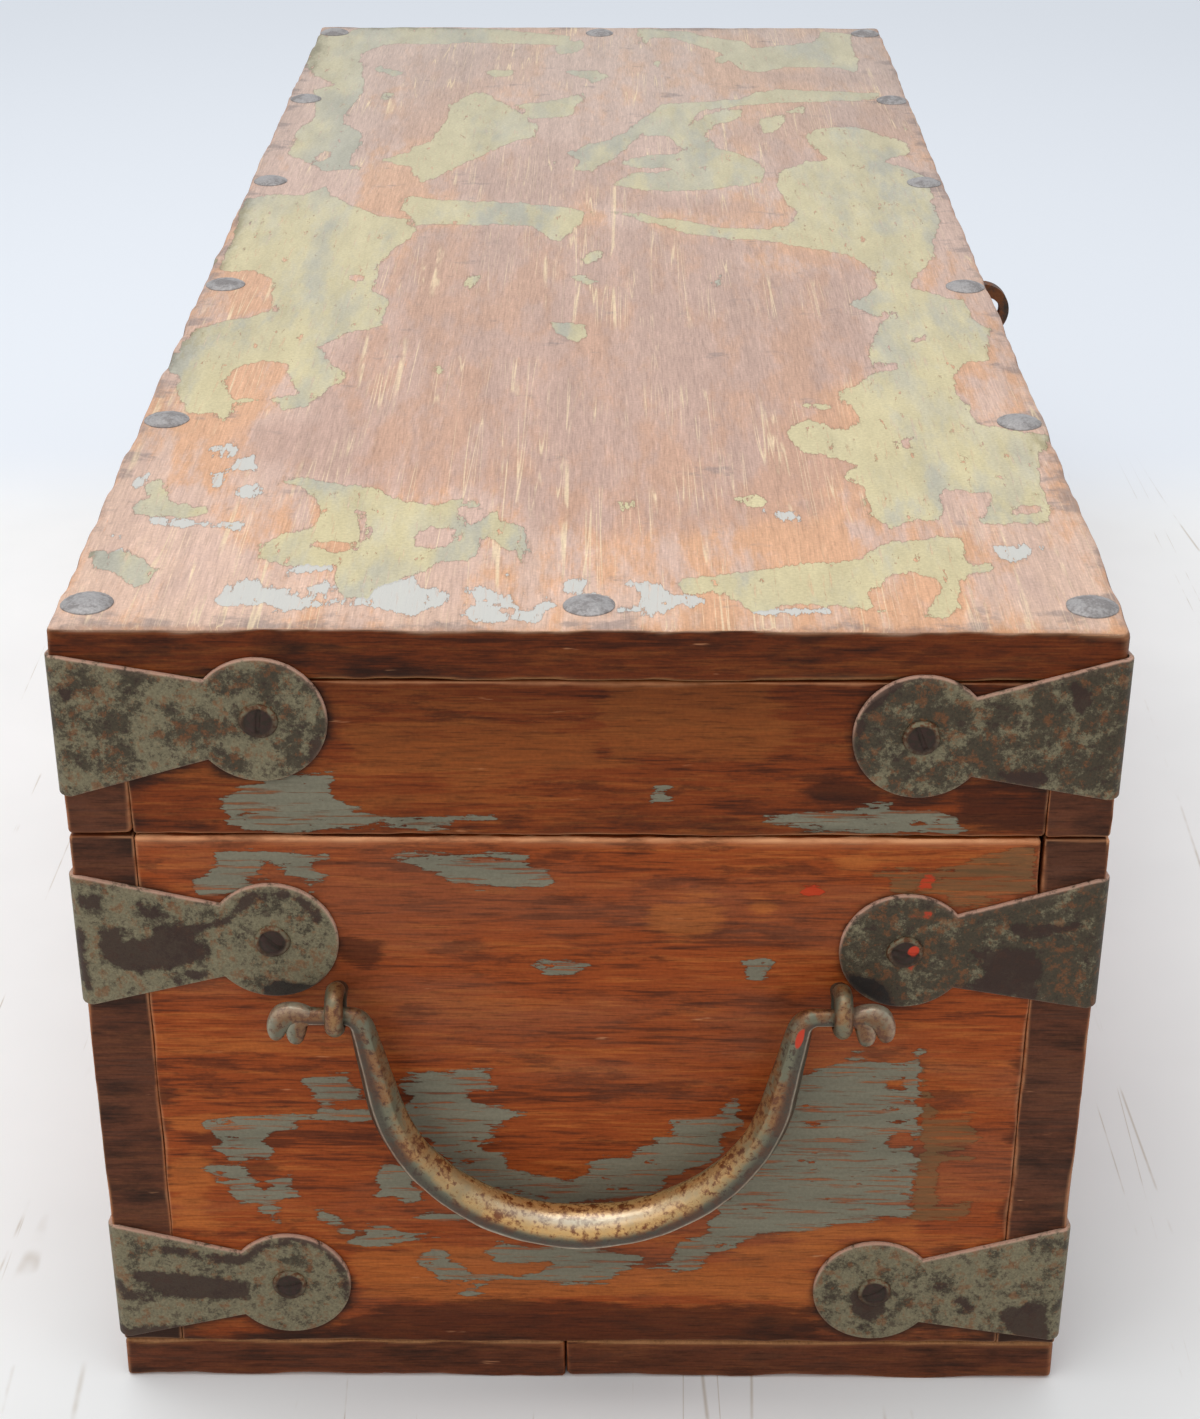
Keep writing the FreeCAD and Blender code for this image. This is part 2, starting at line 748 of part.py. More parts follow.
# Domed nails round the lid: six along each side and one in the middle of each end.
NAILS_PER_SIDE = 6
nail_across = half_width - size("dome_inset_side")
nail_reach = half_length - size("dome_inset_end")
dome_places = []
for wall in LONG_WALLS:
    across = nail_across if wall == "front" else -nail_across
    for count in range(NAILS_PER_SIDE):
        share = 2 * count / (NAILS_PER_SIDE - 1) - 1
        dome_places.append((across, nail_reach * share, f"lid_rim_{wall}"))
dome_places.append((ZERO, -nail_reach, "lid_rim_near"))
dome_places.append((ZERO, nail_reach, "lid_rim_far"))
for across, length, rim in dome_places:
    copy_into("lid_dome_nails", dome_nail, (across, length, lid_top))
    for node in ("lid_top_board", rim):
        tip = lid_top - size("dome_length")
        drill(node, (across, length, tip), 0, 0, size("dome_shank"), size("dome_length"))

# Flush nails through the side boards into the ends of the end boards.
CORNER_NAIL_SHARES = (0.13, 0.40, 0.60, 0.80)
LID_NAIL_SHARES = (0.45, 0.85)
for wall in LONG_WALLS:
    for side in (-1, 1):
        end = "near" if (side < 0) == (wall == "front") else "far"
        along = (half_length - board / 2) * side
        for share in CORNER_NAIL_SHARES:
            point = on_wall(wall, along, floor_top + body_wall_height * share)
            nodes = (f"side_board_{wall}", f"end_board_{end}")
            flush_nail_in("corner_nails", nodes, point, WALL_TURN[wall], -90)
        for share in LID_NAIL_SHARES:
            point = on_wall(wall, along, rim_bottom + size("rim_height") * share)
            nodes = (f"lid_rim_{wall}", f"lid_rim_{end}")
            flush_nail_in("lid_corner_nails", nodes, point, WALL_TURN[wall], -90)

# Flush nails up through the bottom planks.
SIDE_NAIL_SHARES = (-0.74, -0.37, 0.0, 0.37, 0.74)
END_NAIL_SHARES = (0.21, 0.50)
for wall in LONG_WALLS:
    way = 1 if wall == "front" else -1
    for share in SIDE_NAIL_SHARES:
        point = ((half_width - board / 2) * way, half_length * share, ZERO)
        flush_nail_in("bottom_nails", (f"bottom_plank_{wall}", f"side_board_{wall}"), point)
    for end in END_WALLS:
        length = (half_length - board / 2) * (-1 if end == "near" else 1)
        for share in END_NAIL_SHARES:
            point = (half_width * (share * way), length, ZERO)
            flush_nail_in("bottom_nails", (f"bottom_plank_{wall}", f"end_board_{end}"), point)

# ---------------------------------------------------------------- drop handles and eyes

HALF_RIGHT_ANGLE = Size.of(45.0)


def drop_handle(node, wall):
    """Forged bail: a bar that tapers from the grip to thin necks with cloven, flared ends.

    The grip is an arc whose centre lies on the middle line.  Each leg leaves it at the splay,
    so with x the bend's far end and d the drop, the arc and bend radii add up to
    (x cos(splay) - d sin(splay)) / (1 - sin(splay)).
    """
    slide = size(f"{wall}_slide")
    place = on_wall(wall, slide, pivot_level, size("pivot_out"))
    handle = new_body(node, place, WALL_TURN[wall])
    splay, bend, drop = size("bail_splay"), size("bail_bend"), size("bail_drop")
    bend_end = eye_across - size("eye_past_bend")
    both_radii = (bend_end * splay.cosine() - drop * splay.sine()) / (1 - splay.sine())
    radius = both_radii - bend
    leg = (bend_end - both_radii * splay.cosine()) / splay.sine()
    centre = radius - drop
    shoulder_at = (
        radius * HALF_RIGHT_ANGLE.sine(), centre - radius * HALF_RIGHT_ANGLE.cosine(),
    )
    leg_foot = (radius * splay.cosine(), centre - radius * splay.sine())
    leg_top = (leg_foot[0] + leg * splay.sine(), leg_foot[1] + leg * splay.cosine())
    path = new_sketch(handle, "XZ_Plane")
    draw(path, (0, -drop), [
        ("arc", shoulder_at, radius, 1, False),
        ("arc", leg_foot, radius, 1, False),
        ("line", leg_top),
        ("arc", (bend_end, 0), bend, -1, False),
    ], closed=False)
    sections = []
    for (across, level), lean, bar_radius in (
        ((ZERO, -drop), ZERO, size("grip_radius")),
        (shoulder_at, HALF_RIGHT_ANGLE, size("shoulder_radius")),
        (leg_foot, 90 - splay, size("leg_radius")),
        (leg_top, 90 - splay, size("bend_radius")),
        ((bend_end, ZERO), ZERO, size("neck_radius")),
    ):
        section = new_sketch(handle, "YZ_Plane", (0, level, across), -lean)
        sections.append(circle(section, (0, 0), bar_radius))
    doc.recompute()
    bars = []
    for edge, (first, last) in enumerate(zip(sections, sections[1:]), start=1):
        bar = handle.newObject("PartDesign::AdditivePipe", f"{node}_bar")
        bar.Profile = first
        bar.Spine = (path, [f"Edge{edge}"])
        bar.Transformation = "Multisection"
        bar.Sections = [(last, [""])]
        bars.append(bar)
    neck_section = new_sketch(handle, "YZ_Plane", (0, 0, bend_end))
    circle(neck_section, (0, 0), size("neck_radius"))
    neck = pad(handle, neck_section, size("eye_past_bend") + size("tail_start"))

    # The end of the bar is split and spread, so that it can't slip out of the eye.
    tail = new_sketch(handle, "XZ_Plane")
    neck_top = size("neck_radius")
    polygon(tail, [
        (eye_across + size("tail_inner"), -neck_top),
        (eye_across + size("tail_inner"), neck_top),
        (eye_across + size("tail_start"), neck_top),
        (eye_across + size("tail_crown"), size("tail_rise")),
        (eye_across + size("tail_reach"), -size("tail_cheek")),
        (eye_across + size("tail_tip"), -size("tail_drop")),
        (eye_across + size("cleft_in"), -size("cleft_drop")),
        (eye_across + size("toe_tip"), size("toe_short") - size("tail_drop")),
    ])
    flare = pad(handle, tail, size("tail_thick"), both=True)
    mirror = handle.newObject("PartDesign::Mirrored", f"{node}_other_half")
    mirror.Originals = [*bars, neck, flare]
    mirror.MirrorPlane = (plane_of(handle, "YZ_Plane"), [""])
    handle.Tip = mirror
    return handle


def handle_eye(node, wall, side):
    """Split-pin eye of half-round wire: its ring flat inside and round outside, its two legs
    together through the board and bent flat inside."""
    eye = new_body(node, on_wall(wall, eye_across * side, eye_level), WALL_TURN[wall])
    wire, inner = size("eye_wire"), size("eye_inner")
    ring = new_sketch(eye, "XY_Plane", (0, -size("pivot_out"), 0))
    draw(ring, (wire, inner), [("half", (-wire, inner), 1), ("line", (wire, inner))])
    turn_profile(eye, ring, "H_Axis")
    shank_out = size("pivot_out") - inner
    shank = new_sketch(eye, "XZ_Plane", (0, 0, shank_out))
    circle(shank, (0, 0), wire)
    pad(eye, shank, shank_out + board + wire / 2, reverse=True)
    legs = new_sketch(eye, "XZ_Plane", (0, 0, -board))
    reach = size("clench_length") - wire
    draw(legs, (wire, -reach), [
        ("line", (wire, reach)),
        ("half", (-wire, reach), 1),
        ("line", (-wire, -reach)),
        ("half", (wire, -reach), 1),
    ])
    pad(eye, legs, wire, reverse=True)
    drill_wall(f"end_board_{wall}", wall, eye_across * side, eye_level, wire, board)
    return eye


handles = {}
for wall in END_WALLS:
    handles[f"{wall}_handle"] = drop_handle(f"{wall}_handle", wall)
    for side_name in LONG_WALLS:
        right_hand = (side_name == "front") == (wall == "near")
        node = f"{wall}_eye_{side_name}"
        handles[node] = handle_eye(node, wall, 1 if right_hand else -1)

# ---------------------------------------------------------------- hinges


def knuckle(body, low, high):
    """Knuckle tube round the pin, between two places along it."""
    tube = new_sketch(body, "YZ_Plane", (0, 0, low))
    circle(tube, (-barrel_axis, 0), size("barrel"))
    circle(tube, (-barrel_axis, 0), bore)
    pad(body, tube, high - low)


def pin_between(node, wall, along, level, half):
    """Pin along the wall, as long as the knuckles."""
    pin = new_body(node, on_wall(wall, along, level), WALL_TURN[wall])
    section = new_sketch(pin, "YZ_Plane")
    circle(section, (-barrel_axis, 0), bore - size("pin_play"))
    pad(pin, section, half * 2, both=True)
    return pin


leaf_half = size("leaf_width") / 2
third = leaf_half / 3
clear_of_barrel = size("barrel") + size("knuckle_gap")
leaf_screws = (
    (-size("hinge_screw_apart"), size("hinge_screw_low")),
    (ZERO, size("hinge_screw_high")),
    (size("hinge_screw_apart"), size("hinge_screw_low")),
)


def leaf_holes(sketch, places):
    for along, height in places:
        circle(sketch, (along, height), size("small_shank") + size("drill_gap"))


def chest_leaf(node, wall, along, level, half, middle, height, screws):
    """Leaf below the pin, with a knuckle at each end and room between for the other leaf's."""
    leaf = new_body(node, on_wall(wall, along, level), WALL_TURN[wall])
    plate = new_sketch(leaf, "XZ_Plane")
    notch = middle + size("knuckle_gap")
    polygon(plate, [
        (-half, -height), (half, -height), (half, 0), (notch, 0),
        (notch, -clear_of_barrel), (-notch, -clear_of_barrel), (-notch, 0), (-half, 0),
    ])
    leaf_holes(plate, screws)
    pad(leaf, plate, size("leaf_sheet"))
    knuckle(leaf, -half, -notch)
    knuckle(leaf, notch, half)
    return leaf


def lid_leaf(node, wall, along, level, half, middle, height, screws):
    """Leaf above the pin, with one knuckle in the middle."""
    leaf = new_body(node, on_wall(wall, along, level), WALL_TURN[wall])
    plate = new_sketch(leaf, "XZ_Plane")
    polygon(plate, [
        (-half, height), (-half, clear_of_barrel), (-middle, clear_of_barrel), (-middle, 0),
        (middle, 0), (middle, clear_of_barrel), (half, clear_of_barrel), (half, height),
    ])
    leaf_holes(plate, screws)
    pad(leaf, plate, size("leaf_sheet"))
    knuckle(leaf, -middle, middle)
    return leaf


hinges = {}
for end, side in (("near", 1), ("far", -1)):
    along = size("hinge_at") * side
    low_screws = [(across, -height) for across, height in leaf_screws]
    spot = ("back", along, seam, leaf_half, third, size("leaf_height"))
    hinges[f"hinge_leaf_chest_{end}"] = chest_leaf(
        f"hinge_leaf_chest_{end}", *spot, low_screws)
    hinges[f"hinge_leaf_lid_{end}"] = lid_leaf(f"hinge_leaf_lid_{end}", *spot, leaf_screws)
    hinges[f"hinge_pin_{end}"] = pin_between(
        f"hinge_pin_{end}", "back", along, seam, leaf_half)
    for across, height in leaf_screws:
        for group, node, level in (
            ("chest_hinge_screws", "side_board_back", seam - height),
            ("lid_hinge_screws", "lid_rim_back", seam + height),
        ):
            screw_on_wall(
                group, node, "back", along + across, level, size("leaf_sheet"),
                small_screw, size("small_shank"), size("small_length"),
            )

# ---------------------------------------------------------------- hasp and padlock lug

plate_half = size("hasp_plate_width") / 2
arm_half = size("arm_width") / 2
arm_knuckle = arm_half - size("knuckle_gap")
slot_near = size("lug_from_pin") - size("lug_half") - size("slot_play")
slot_far = size("lug_from_pin") + size("lug_half") + size("slot_play")
hasp_screws = (
    (-size("hasp_screw_side"), -size("hasp_screw_low")),
    (size("hasp_screw_side"), -size("hasp_screw_low")),
)
hasp_plate = chest_leaf(
    "hasp_plate", "front", ZERO, hasp_level, plate_half, arm_knuckle,
    size("hasp_plate_height"), hasp_screws,
)
hasp_pin = pin_between("hasp_pin", "front", ZERO, hasp_level, plate_half)
for along, height in hasp_screws:
    screw_on_wall(
        "hasp_screws", "side_board_front", "front", along, hasp_level + height,
        size("leaf_sheet"), small_screw, size("small_shank"), size("small_length"),
    )


def swinging_hasp():
    """Slotted arm that hangs from the hasp pin and folds up over the lug."""
    arm = new_body("hasp_arm", on_wall("front", ZERO, hasp_level), WALL_TURN["front"])
    plate = new_sketch(arm, "XZ_Plane", (0, 0, barrel_axis + bore))
    straight = arm_half - slot_far - size("arm_past_slot")
    draw(plate, (-arm_knuckle, 0), [
        ("line", (-arm_knuckle, -clear_of_barrel)),
        ("line", (-arm_half, -clear_of_barrel)),
        ("line", (-arm_half, straight)),
        ("half", (arm_half, straight), 1),
        ("line", (arm_half, -clear_of_barrel)),
        ("line", (arm_knuckle, -clear_of_barrel)),
        ("line", (arm_knuckle, 0)),
        ("line", (-arm_knuckle, 0)),
    ])
    pad(arm, plate, size("leaf_sheet"))
    slot = new_sketch(arm, "XZ_Plane")
    half = size("lug_thick") / 2 + size("slot_play")
    near_end, far_end = -slot_near - half, half - slot_far
    draw(slot, (-half, near_end), [
        ("line", (-half, far_end)),
        ("half", (half, far_end), 1),
        ("line", (half, near_end)),
        ("half", (-half, near_end), 1),
    ])
    knuckle(arm, -arm_knuckle, arm_knuckle)
    cut_through(arm, slot)
    return arm


def padlock_lug():
    """Flat iron lug with a round padlock hole, its tang through the lid's front rim."""
    lug = new_body("padlock_lug", on_wall("front", ZERO, lug_level), WALL_TURN["front"])
    side_view = new_sketch(lug, "YZ_Plane")
    half, straight = size("lug_half"), size("lug_straight")
    tang, inside = size("tang_half"), board + size("leaf_sheet")
    draw(side_view, (0, -half), [
        ("line", (0, -tang)),
        ("line", (inside, -tang)),
        ("line", (inside, tang)),
        ("line", (0, tang)),
        ("line", (0, half)),
        ("line", (-straight, half)),
        ("half", (-straight, -half), 1),
        ("line", (0, -half)),
    ])
    circle(side_view, (-size("lug_hole_out"), 0), size("lug_hole"))
    pad(lug, side_view, size("lug_thick"), both=True)
    return lug


def rectangle_hole(sketch, half_wide, half_high):
    """Rectangular hole about the sketch's origin, added to an outline already drawn."""
    corners = [
        (-half_wide, -half_high), (half_wide, -half_high),
        (half_wide, half_high), (-half_wide, half_high),
    ]
    for here, there in zip(corners, corners[1:] + corners[:1]):
        index = sketch.addGeometry(Part.LineSegment(flat(here), flat(there)))
        pin_point(sketch, index, 1, here)
        pin_point(sketch, index, 2, there)


def lug_washer():
    """Square iron washer inside the lid, over the end of the lug's tang."""
    washer = new_body("lug_washer", on_wall("front", ZERO, lug_level), WALL_TURN["front"])
    face = new_sketch(washer, "XZ_Plane", (0, 0, -board))
    half, gap = size("washer_half"), size("drill_gap")
    rectangle(face, (-half, -half), (half, half))
    tang_width, tang_height = size("lug_thick") / 2 + gap, size("tang_half") + gap
    rectangle_hole(face, tang_width, tang_height)
    pad(washer, face, size("leaf_sheet"), reverse=True)
    return washer


def tang_mortise():
    """Mortise for the lug's tang, right through the lid's front rim."""
    gap = size("drill_gap")
    half_thick, half_high = size("lug_thick") / 2 + gap, size("tang_half") + gap
    tool = doc.addObject("Part::Box", "lug_mortise")
    bind(tool, Length=board, Width=half_thick * 2, Height=half_high * 2)
    put(tool, (half_width - board, -half_thick, lug_level - half_high))
    drilled["lid_rim_front"][1].append(tool)


hasp = {
    "hasp_plate": hasp_plate,
    "hasp_pin": hasp_pin,
    "hasp_arm": swinging_hasp(),
    "padlock_lug": padlock_lug(),
    "lug_washer": lug_washer(),
}
tang_mortise()

# ---------------------------------------------------------------- check and write

nodes = {**finish_boards(), **straps, **handles, **hinges, **hasp, **finish_groups()}
doc.recompute()

for thing in doc.Objects:
    if "Invalid" in thing.State or "Error" in thing.State:
        raise RuntimeError(f"{thing.Name} failed: {thing.State}")
for name, thing in nodes.items():
    if thing.Shape.isNull() or not thing.Shape.isValid() or not thing.Shape.Solids:
        raise RuntimeError(f"{name} has no valid solid")

os.makedirs("parts", exist_ok=True)
for name, thing in nodes.items():
    thing.Shape.exportStep(f"parts/{name}.step")
print(f"{len(nodes)} sub-parts, {sum(len(thing.Shape.Solids) for thing in nodes.values())} solids")
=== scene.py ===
import math
from functools import partial

import bmesh
import bpy
import numpy as np
from mathutils import Matrix, Vector


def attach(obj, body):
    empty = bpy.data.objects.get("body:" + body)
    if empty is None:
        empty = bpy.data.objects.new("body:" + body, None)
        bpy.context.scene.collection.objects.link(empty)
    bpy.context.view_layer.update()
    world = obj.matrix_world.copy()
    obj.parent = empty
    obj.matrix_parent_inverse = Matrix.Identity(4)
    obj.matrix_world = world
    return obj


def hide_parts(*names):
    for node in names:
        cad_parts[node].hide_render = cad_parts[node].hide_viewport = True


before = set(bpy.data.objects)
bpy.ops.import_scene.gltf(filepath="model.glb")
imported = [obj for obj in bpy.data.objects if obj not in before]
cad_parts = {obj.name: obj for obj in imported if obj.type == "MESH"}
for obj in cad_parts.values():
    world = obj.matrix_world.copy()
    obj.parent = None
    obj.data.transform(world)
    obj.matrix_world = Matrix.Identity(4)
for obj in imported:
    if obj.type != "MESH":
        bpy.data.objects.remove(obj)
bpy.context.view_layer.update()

bl_info = {
    "name": "Worn Teak Travelling Chest",
    "version": (1, 0, 0),
    "blender": (4, 5, 0),
    "location": "3D View > Sidebar > Chest",
    "description": "Dresses a plain teak travelling chest with iron straps and drop handles",
    "category": "Add Mesh",
}

MM = 0.001

# ---------------------------------------------------------------- places, in millimetres

# Half sizes of the chest and the levels of its boards, bottom to top.
HALF_WIDTH, HALF_LENGTH = 120.0, 298.0
BOARD = 15.0
FLOOR_TOP, BODY_TOP = 12.0, 162.7
RIM_BOTTOM, RIM_TOP, LID_TOP = 163.3, 203.0, 216.0
PLANK_JOINT = -6.0
CORNER_TURN = {"near_front": 0, "far_front": 90, "far_back": 180, "near_back": 270}
WALL_TURN = {"near": 0, "front": 90, "far": 180, "back": 270}


def outlines(text):
    """Read outlines: words name their kinds, and after each come its corners in millimetres.
    Bare is a hole in the paint."""
    shapes = []
    for word in text.split():
        if word.isalpha():
            shapes.append((word, []))
        else:
            shapes[-1][1].append([int(part) for part in word.split(",")])
    return shapes


# Old paint left on the lid's top, across and along.  Olive is the last coat and grey the first
# one under it.
TOP_PATCHES = outlines("""
olive -78,-212 -71,-211 -65,-215 -57,-215 -44,-228 -39,-228 -33,-222 -16,-242 -15,-265 -17,-258
 -25,-248 -28,-261 -36,-262 -39,-268 -48,-276 -51,-283 -55,-281 -58,-276 -59,-264 -70,-265 -78,-261
 -78,-252 -66,-241 -65,-234 -72,-217
bare -56,-233 -51,-248 -53,-255
bare -42,-248 -38,-242 -33,-243 -32,-250 -37,-255 -42,-253
bare -32,-230 -26,-228 -26,-236 -30,-242
bare -66,-250 -57,-251 -56,-256 -66,-254
olive -111,-216 -108,-212 -103,-226 -94,-230 -93,-234 -96,-237 -111,-235 -114,-229 -109,-225
olive -117,-257 -115,-254 -109,-257 -100,-267 -101,-278 -109,-269 -115,-266
grey -69,-258 -60,-260 -59,-267 -69,-269
grey -81,-276 -76,-274 -70,-279 -70,-285 -78,-285
grey -64,-276 -61,-271 -57,-276 -61,-283
grey -54,-283 -49,-274 -40,-269 -39,-276 -31,-279 -31,-285 -41,-290 -53,-286
grey -30,-290 -25,-285 -19,-290 -12,-289 -12,-293 -26,-294
grey -98,-191 -93,-185 -93,-197 -96,-197
grey -91,-200 -88,-198 -85,-205 -90,-205
grey -95,-208 -93,-208 -92,-217 -94,-217
grey -88,-219 -84,-216 -83,-222 -87,-223
grey -115,-210 -112,-209 -112,-216 -115,-217
grey -108,-235 -92,-238 -92,-242 -99,-243 -106,-240
grey -89,-240 -85,-241 -86,-243
grey -117,-255 -110,-255 -109,-258 -114,-264
grey -115,-247 -110,-248 -112,-251
grey -21,-281 -18,-282 -19,-286
olive -118,36 -109,41 -99,41 -93,52 -88,36 -72,16 -62,13 -58,0 -69,-36 -68,-62 -62,-70 -61,-94
 -71,-100 -78,-113 -74,-128 -69,-133 -69,-142 -73,-147 -77,-162 -83,-163 -85,-156 -96,-158 -96,-177
 -101,-165 -108,-165 -120,-126 -116,-97 -109,-89 -102,-87 -95,-81 -100,-51 -107,-43 -117,-43
bare -101,-143 -99,-129 -93,-125 -85,-127 -81,-151 -86,-155 -98,-155
bare -76,-47 -72,-47 -71,-52 -75,-52
olive -65,37 -62,40 -54,35 -25,32 -1,22 -11,-12 -21,4 -33,7 -58,7 -65,23
olive -13,-91 -8,-90 -2,-93 -2,-104 -5,-109 -12,-101
olive -9,-46 -4,-47 1,-53 -3,-56
olive -47,-122 -44,-124 -41,-136 -44,-134
olive 4,22 15,20 42,4 55,3 63,6 66,21 62,51 64,71 75,84 89,88 100,88 110,76 115,60 112,36 114,14
 106,-28 97,-57 105,-66 111,-69 111,-87 114,-95 111,-123 104,-125 101,-133 99,-146 101,-156
 100,-178 75,-182 66,-178 72,-169 66,-149 72,-144 78,-133 80,-104 84,-87 77,-74 87,-57 86,-41
 80,-25 55,-10 30,-3
bare 85,-80 90,-79 89,-87 85,-87
bare 91,-104 97,-100 95,-108 91,-109
bare 81,-125 85,-125 84,-131 81,-131
bare 79,-169 86,-164 92,-170 84,-176
olive 68,-145 72,-157 71,-169 66,-181 57,-167 50,-179 53,-191 68,-201 64,-210 68,-214 69,-236
 72,-242 79,-235 84,-237 88,-217 99,-220 94,-238 111,-239 112,-210 119,-180 100,-172 100,-145
bare 79,-185 83,-182 81,-190 79,-190
bare 105,-228 113,-227 112,-230 104,-233
olive 18,-272 63,-259 71,-250 83,-246 87,-248 89,-263 93,-261 94,-264 87,-270 81,-291 76,-292
 58,-286 47,-285 36,-288 28,-277 22,-279
bare 63,-277 69,-268 75,-267 79,-274 74,-291 67,-290 63,-286
grey 8,-273 14,-272 24,-283 13,-291 13,-279
grey 37,-283 39,-286 51,-286 60,-290 37,-289
grey 95,-252 107,-252 100,-261 96,-259
grey -17,-288 -12,-288 -13,-293 -17,-292
olive 35,-223 40,-222 43,-226 38,-228
grey 44,-232 49,-231 50,-237 45,-237
olive 56,-157 64,-158 63,-162 56,-161
olive -121,283 -109,281 -103,298 -45,294 -12,280 -13,263 -37,268 -91,265 -98,246 -93,182 -95,135
 -88,121 -85,107 -88,83 -83,73 -96,71 -111,92 -110,132 -106,139 -111,186 -105,194 -113,207 -119,228
bare -102,93 -99,99 -95,96 -96,84 -100,82
olive -47,187 -31,155 -23,132 -24,118 -33,107 -61,54 -66,76 -76,83 -77,88 -69,93 -67,103 -60,110
 -56,143 -57,162
olive -46,218 -34,220 -35,210 -43,207
olive -13,218 -1,221 2,208 -3,197
olive -30,163 -8,179 -10,151 -16,144 -26,144
olive -93,231 -79,216 -80,208 -90,219
olive -11,94 -4,107 3,111 12,129 24,165 52,172 68,190 109,184 108,172 79,170 44,160 38,152 33,133
 31,101 26,118 17,122 4,83 -3,70 -8,73 -6,83
olive 33,133 40,150 57,160 52,144 45,137 40,119 43,104 58,86 60,71 57,58 44,50 24,45 5,53 11,69
 21,70 26,74 12,77 9,82 17,92 29,94 32,101
olive 38,290 44,281 59,271 64,260 80,264 91,272 94,291 107,286 104,218 94,226 82,226 73,224 63,217
 55,226 52,248 33,276 15,280 16,295
olive 75,119 83,130 95,132 104,123 112,109 111,95 104,85 91,81 85,88 80,94
""")

# Old paint left on the near end, across and up.  Faint is thin, stained paint.
END_PATCHES = outlines("""
olive -85,173 -72,178 -59,178 -59,174 -54,171 -39,169 -22,169 -21,167 -48,166 -69,163 -79,164
 -84,166 -82,169
olive -91,151 -87,154 -85,158 -79,159 -60,158 -59,156 -62,154 -58,152 -60,150 -65,149 -68,152
 -79,151 -85,147 -90,146
bare -76,156 -71,154 -71,152 -76,153
olive 36,171 53,170 69,172 69,170 80,170 85,165 84,164 53,166 41,168
olive 46,196 60,196 60,194 48,194
faint 65,154 85,154 93,159 104,162 104,149 91,145 85,145 81,149 72,149
olive -46,94 -30,97 -23,97 -24,94 -21,93 -23,90 -28,91 -27,88 -16,86 -20,84 -20,82 -27,80 -21,77
 -22,76 -27,76 -30,74 -21,72 -20,68 -21,64 -12,64 -12,59 -26,61 -36,71 -43,81
olive -68,90 -65,92 -63,95 -56,92 -54,89 -65,88 -62,85 -54,84 -55,82 -69,83 -78,77 -79,70 -89,71
 -94,76 -93,81 -79,84 -71,83 -67,84 -66,87
olive -52,64 -50,69 -46,66 -40,57 -46,57 -48,60 -52,59
olive -43,51 -37,55 -32,52 -35,50 -42,50
olive -59,45 -55,47 -55,50 -50,50 -46,48 -30,48 -30,46 -42,46 -56,44
olive -82,55 -80,56 -77,50 -81,53
olive -67,52 -63,51 -60,47
olive -80,63 -74,65 -74,61 -79,60
olive -94,68 -87,67 -82,62 -83,58 -87,57
olive 49,88 51,96 64,102 75,99 80,102 81,90 81,63 80,53 66,52 43,47 28,42 25,43 33,54 37,68 45,75
faint 80,102 85,84 94,84 95,71 91,72 86,71 87,57 95,57 92,52 80,53 81,76
bare 71,95 76,95 76,93 72,93
bare 75,79 79,79 79,76 75,76
olive 21,78 21,83 35,83 33,77 27,69 13,59 2,57 -15,58 -22,61 -30,67 -33,71 -30,76 -20,71 -21,68
 -17,66 -4,64 1,67 2,70 6,71 16,69 20,72 11,74 17,76 17,78
olive -44,52 -40,55 -30,53 -30,50 -39,50
olive -43,39 -38,42 -35,38 -29,34 -13,33 -10,38 -23,39 -25,41 -23,45 -13,43 4,44 14,43 16,40 20,41
 22,45 33,48 44,59 47,49 35,43 30,39 27,35 10,36 4,33 -7,32 -22,33 -26,32 -28,29 -31,28 -33,30
 -32,32 -38,32
olive -44,157 -16,158 -8,155 -10,150 -21,149 -32,151
olive -14,130 -7,131 2,130 1,126 -4,125 -10,125
olive 14,176 18,177 19,173 14,172
olive -68,93 -59,96 -58,88 -66,87
olive 37,128 42,130 42,124 38,124
olive 11,73 19,75 27,83 36,89 38,86 32,74 23,65 13,64
red 49,150 54,151 55,147 50,147
red 77,153 80,153 80,150 77,150
""")

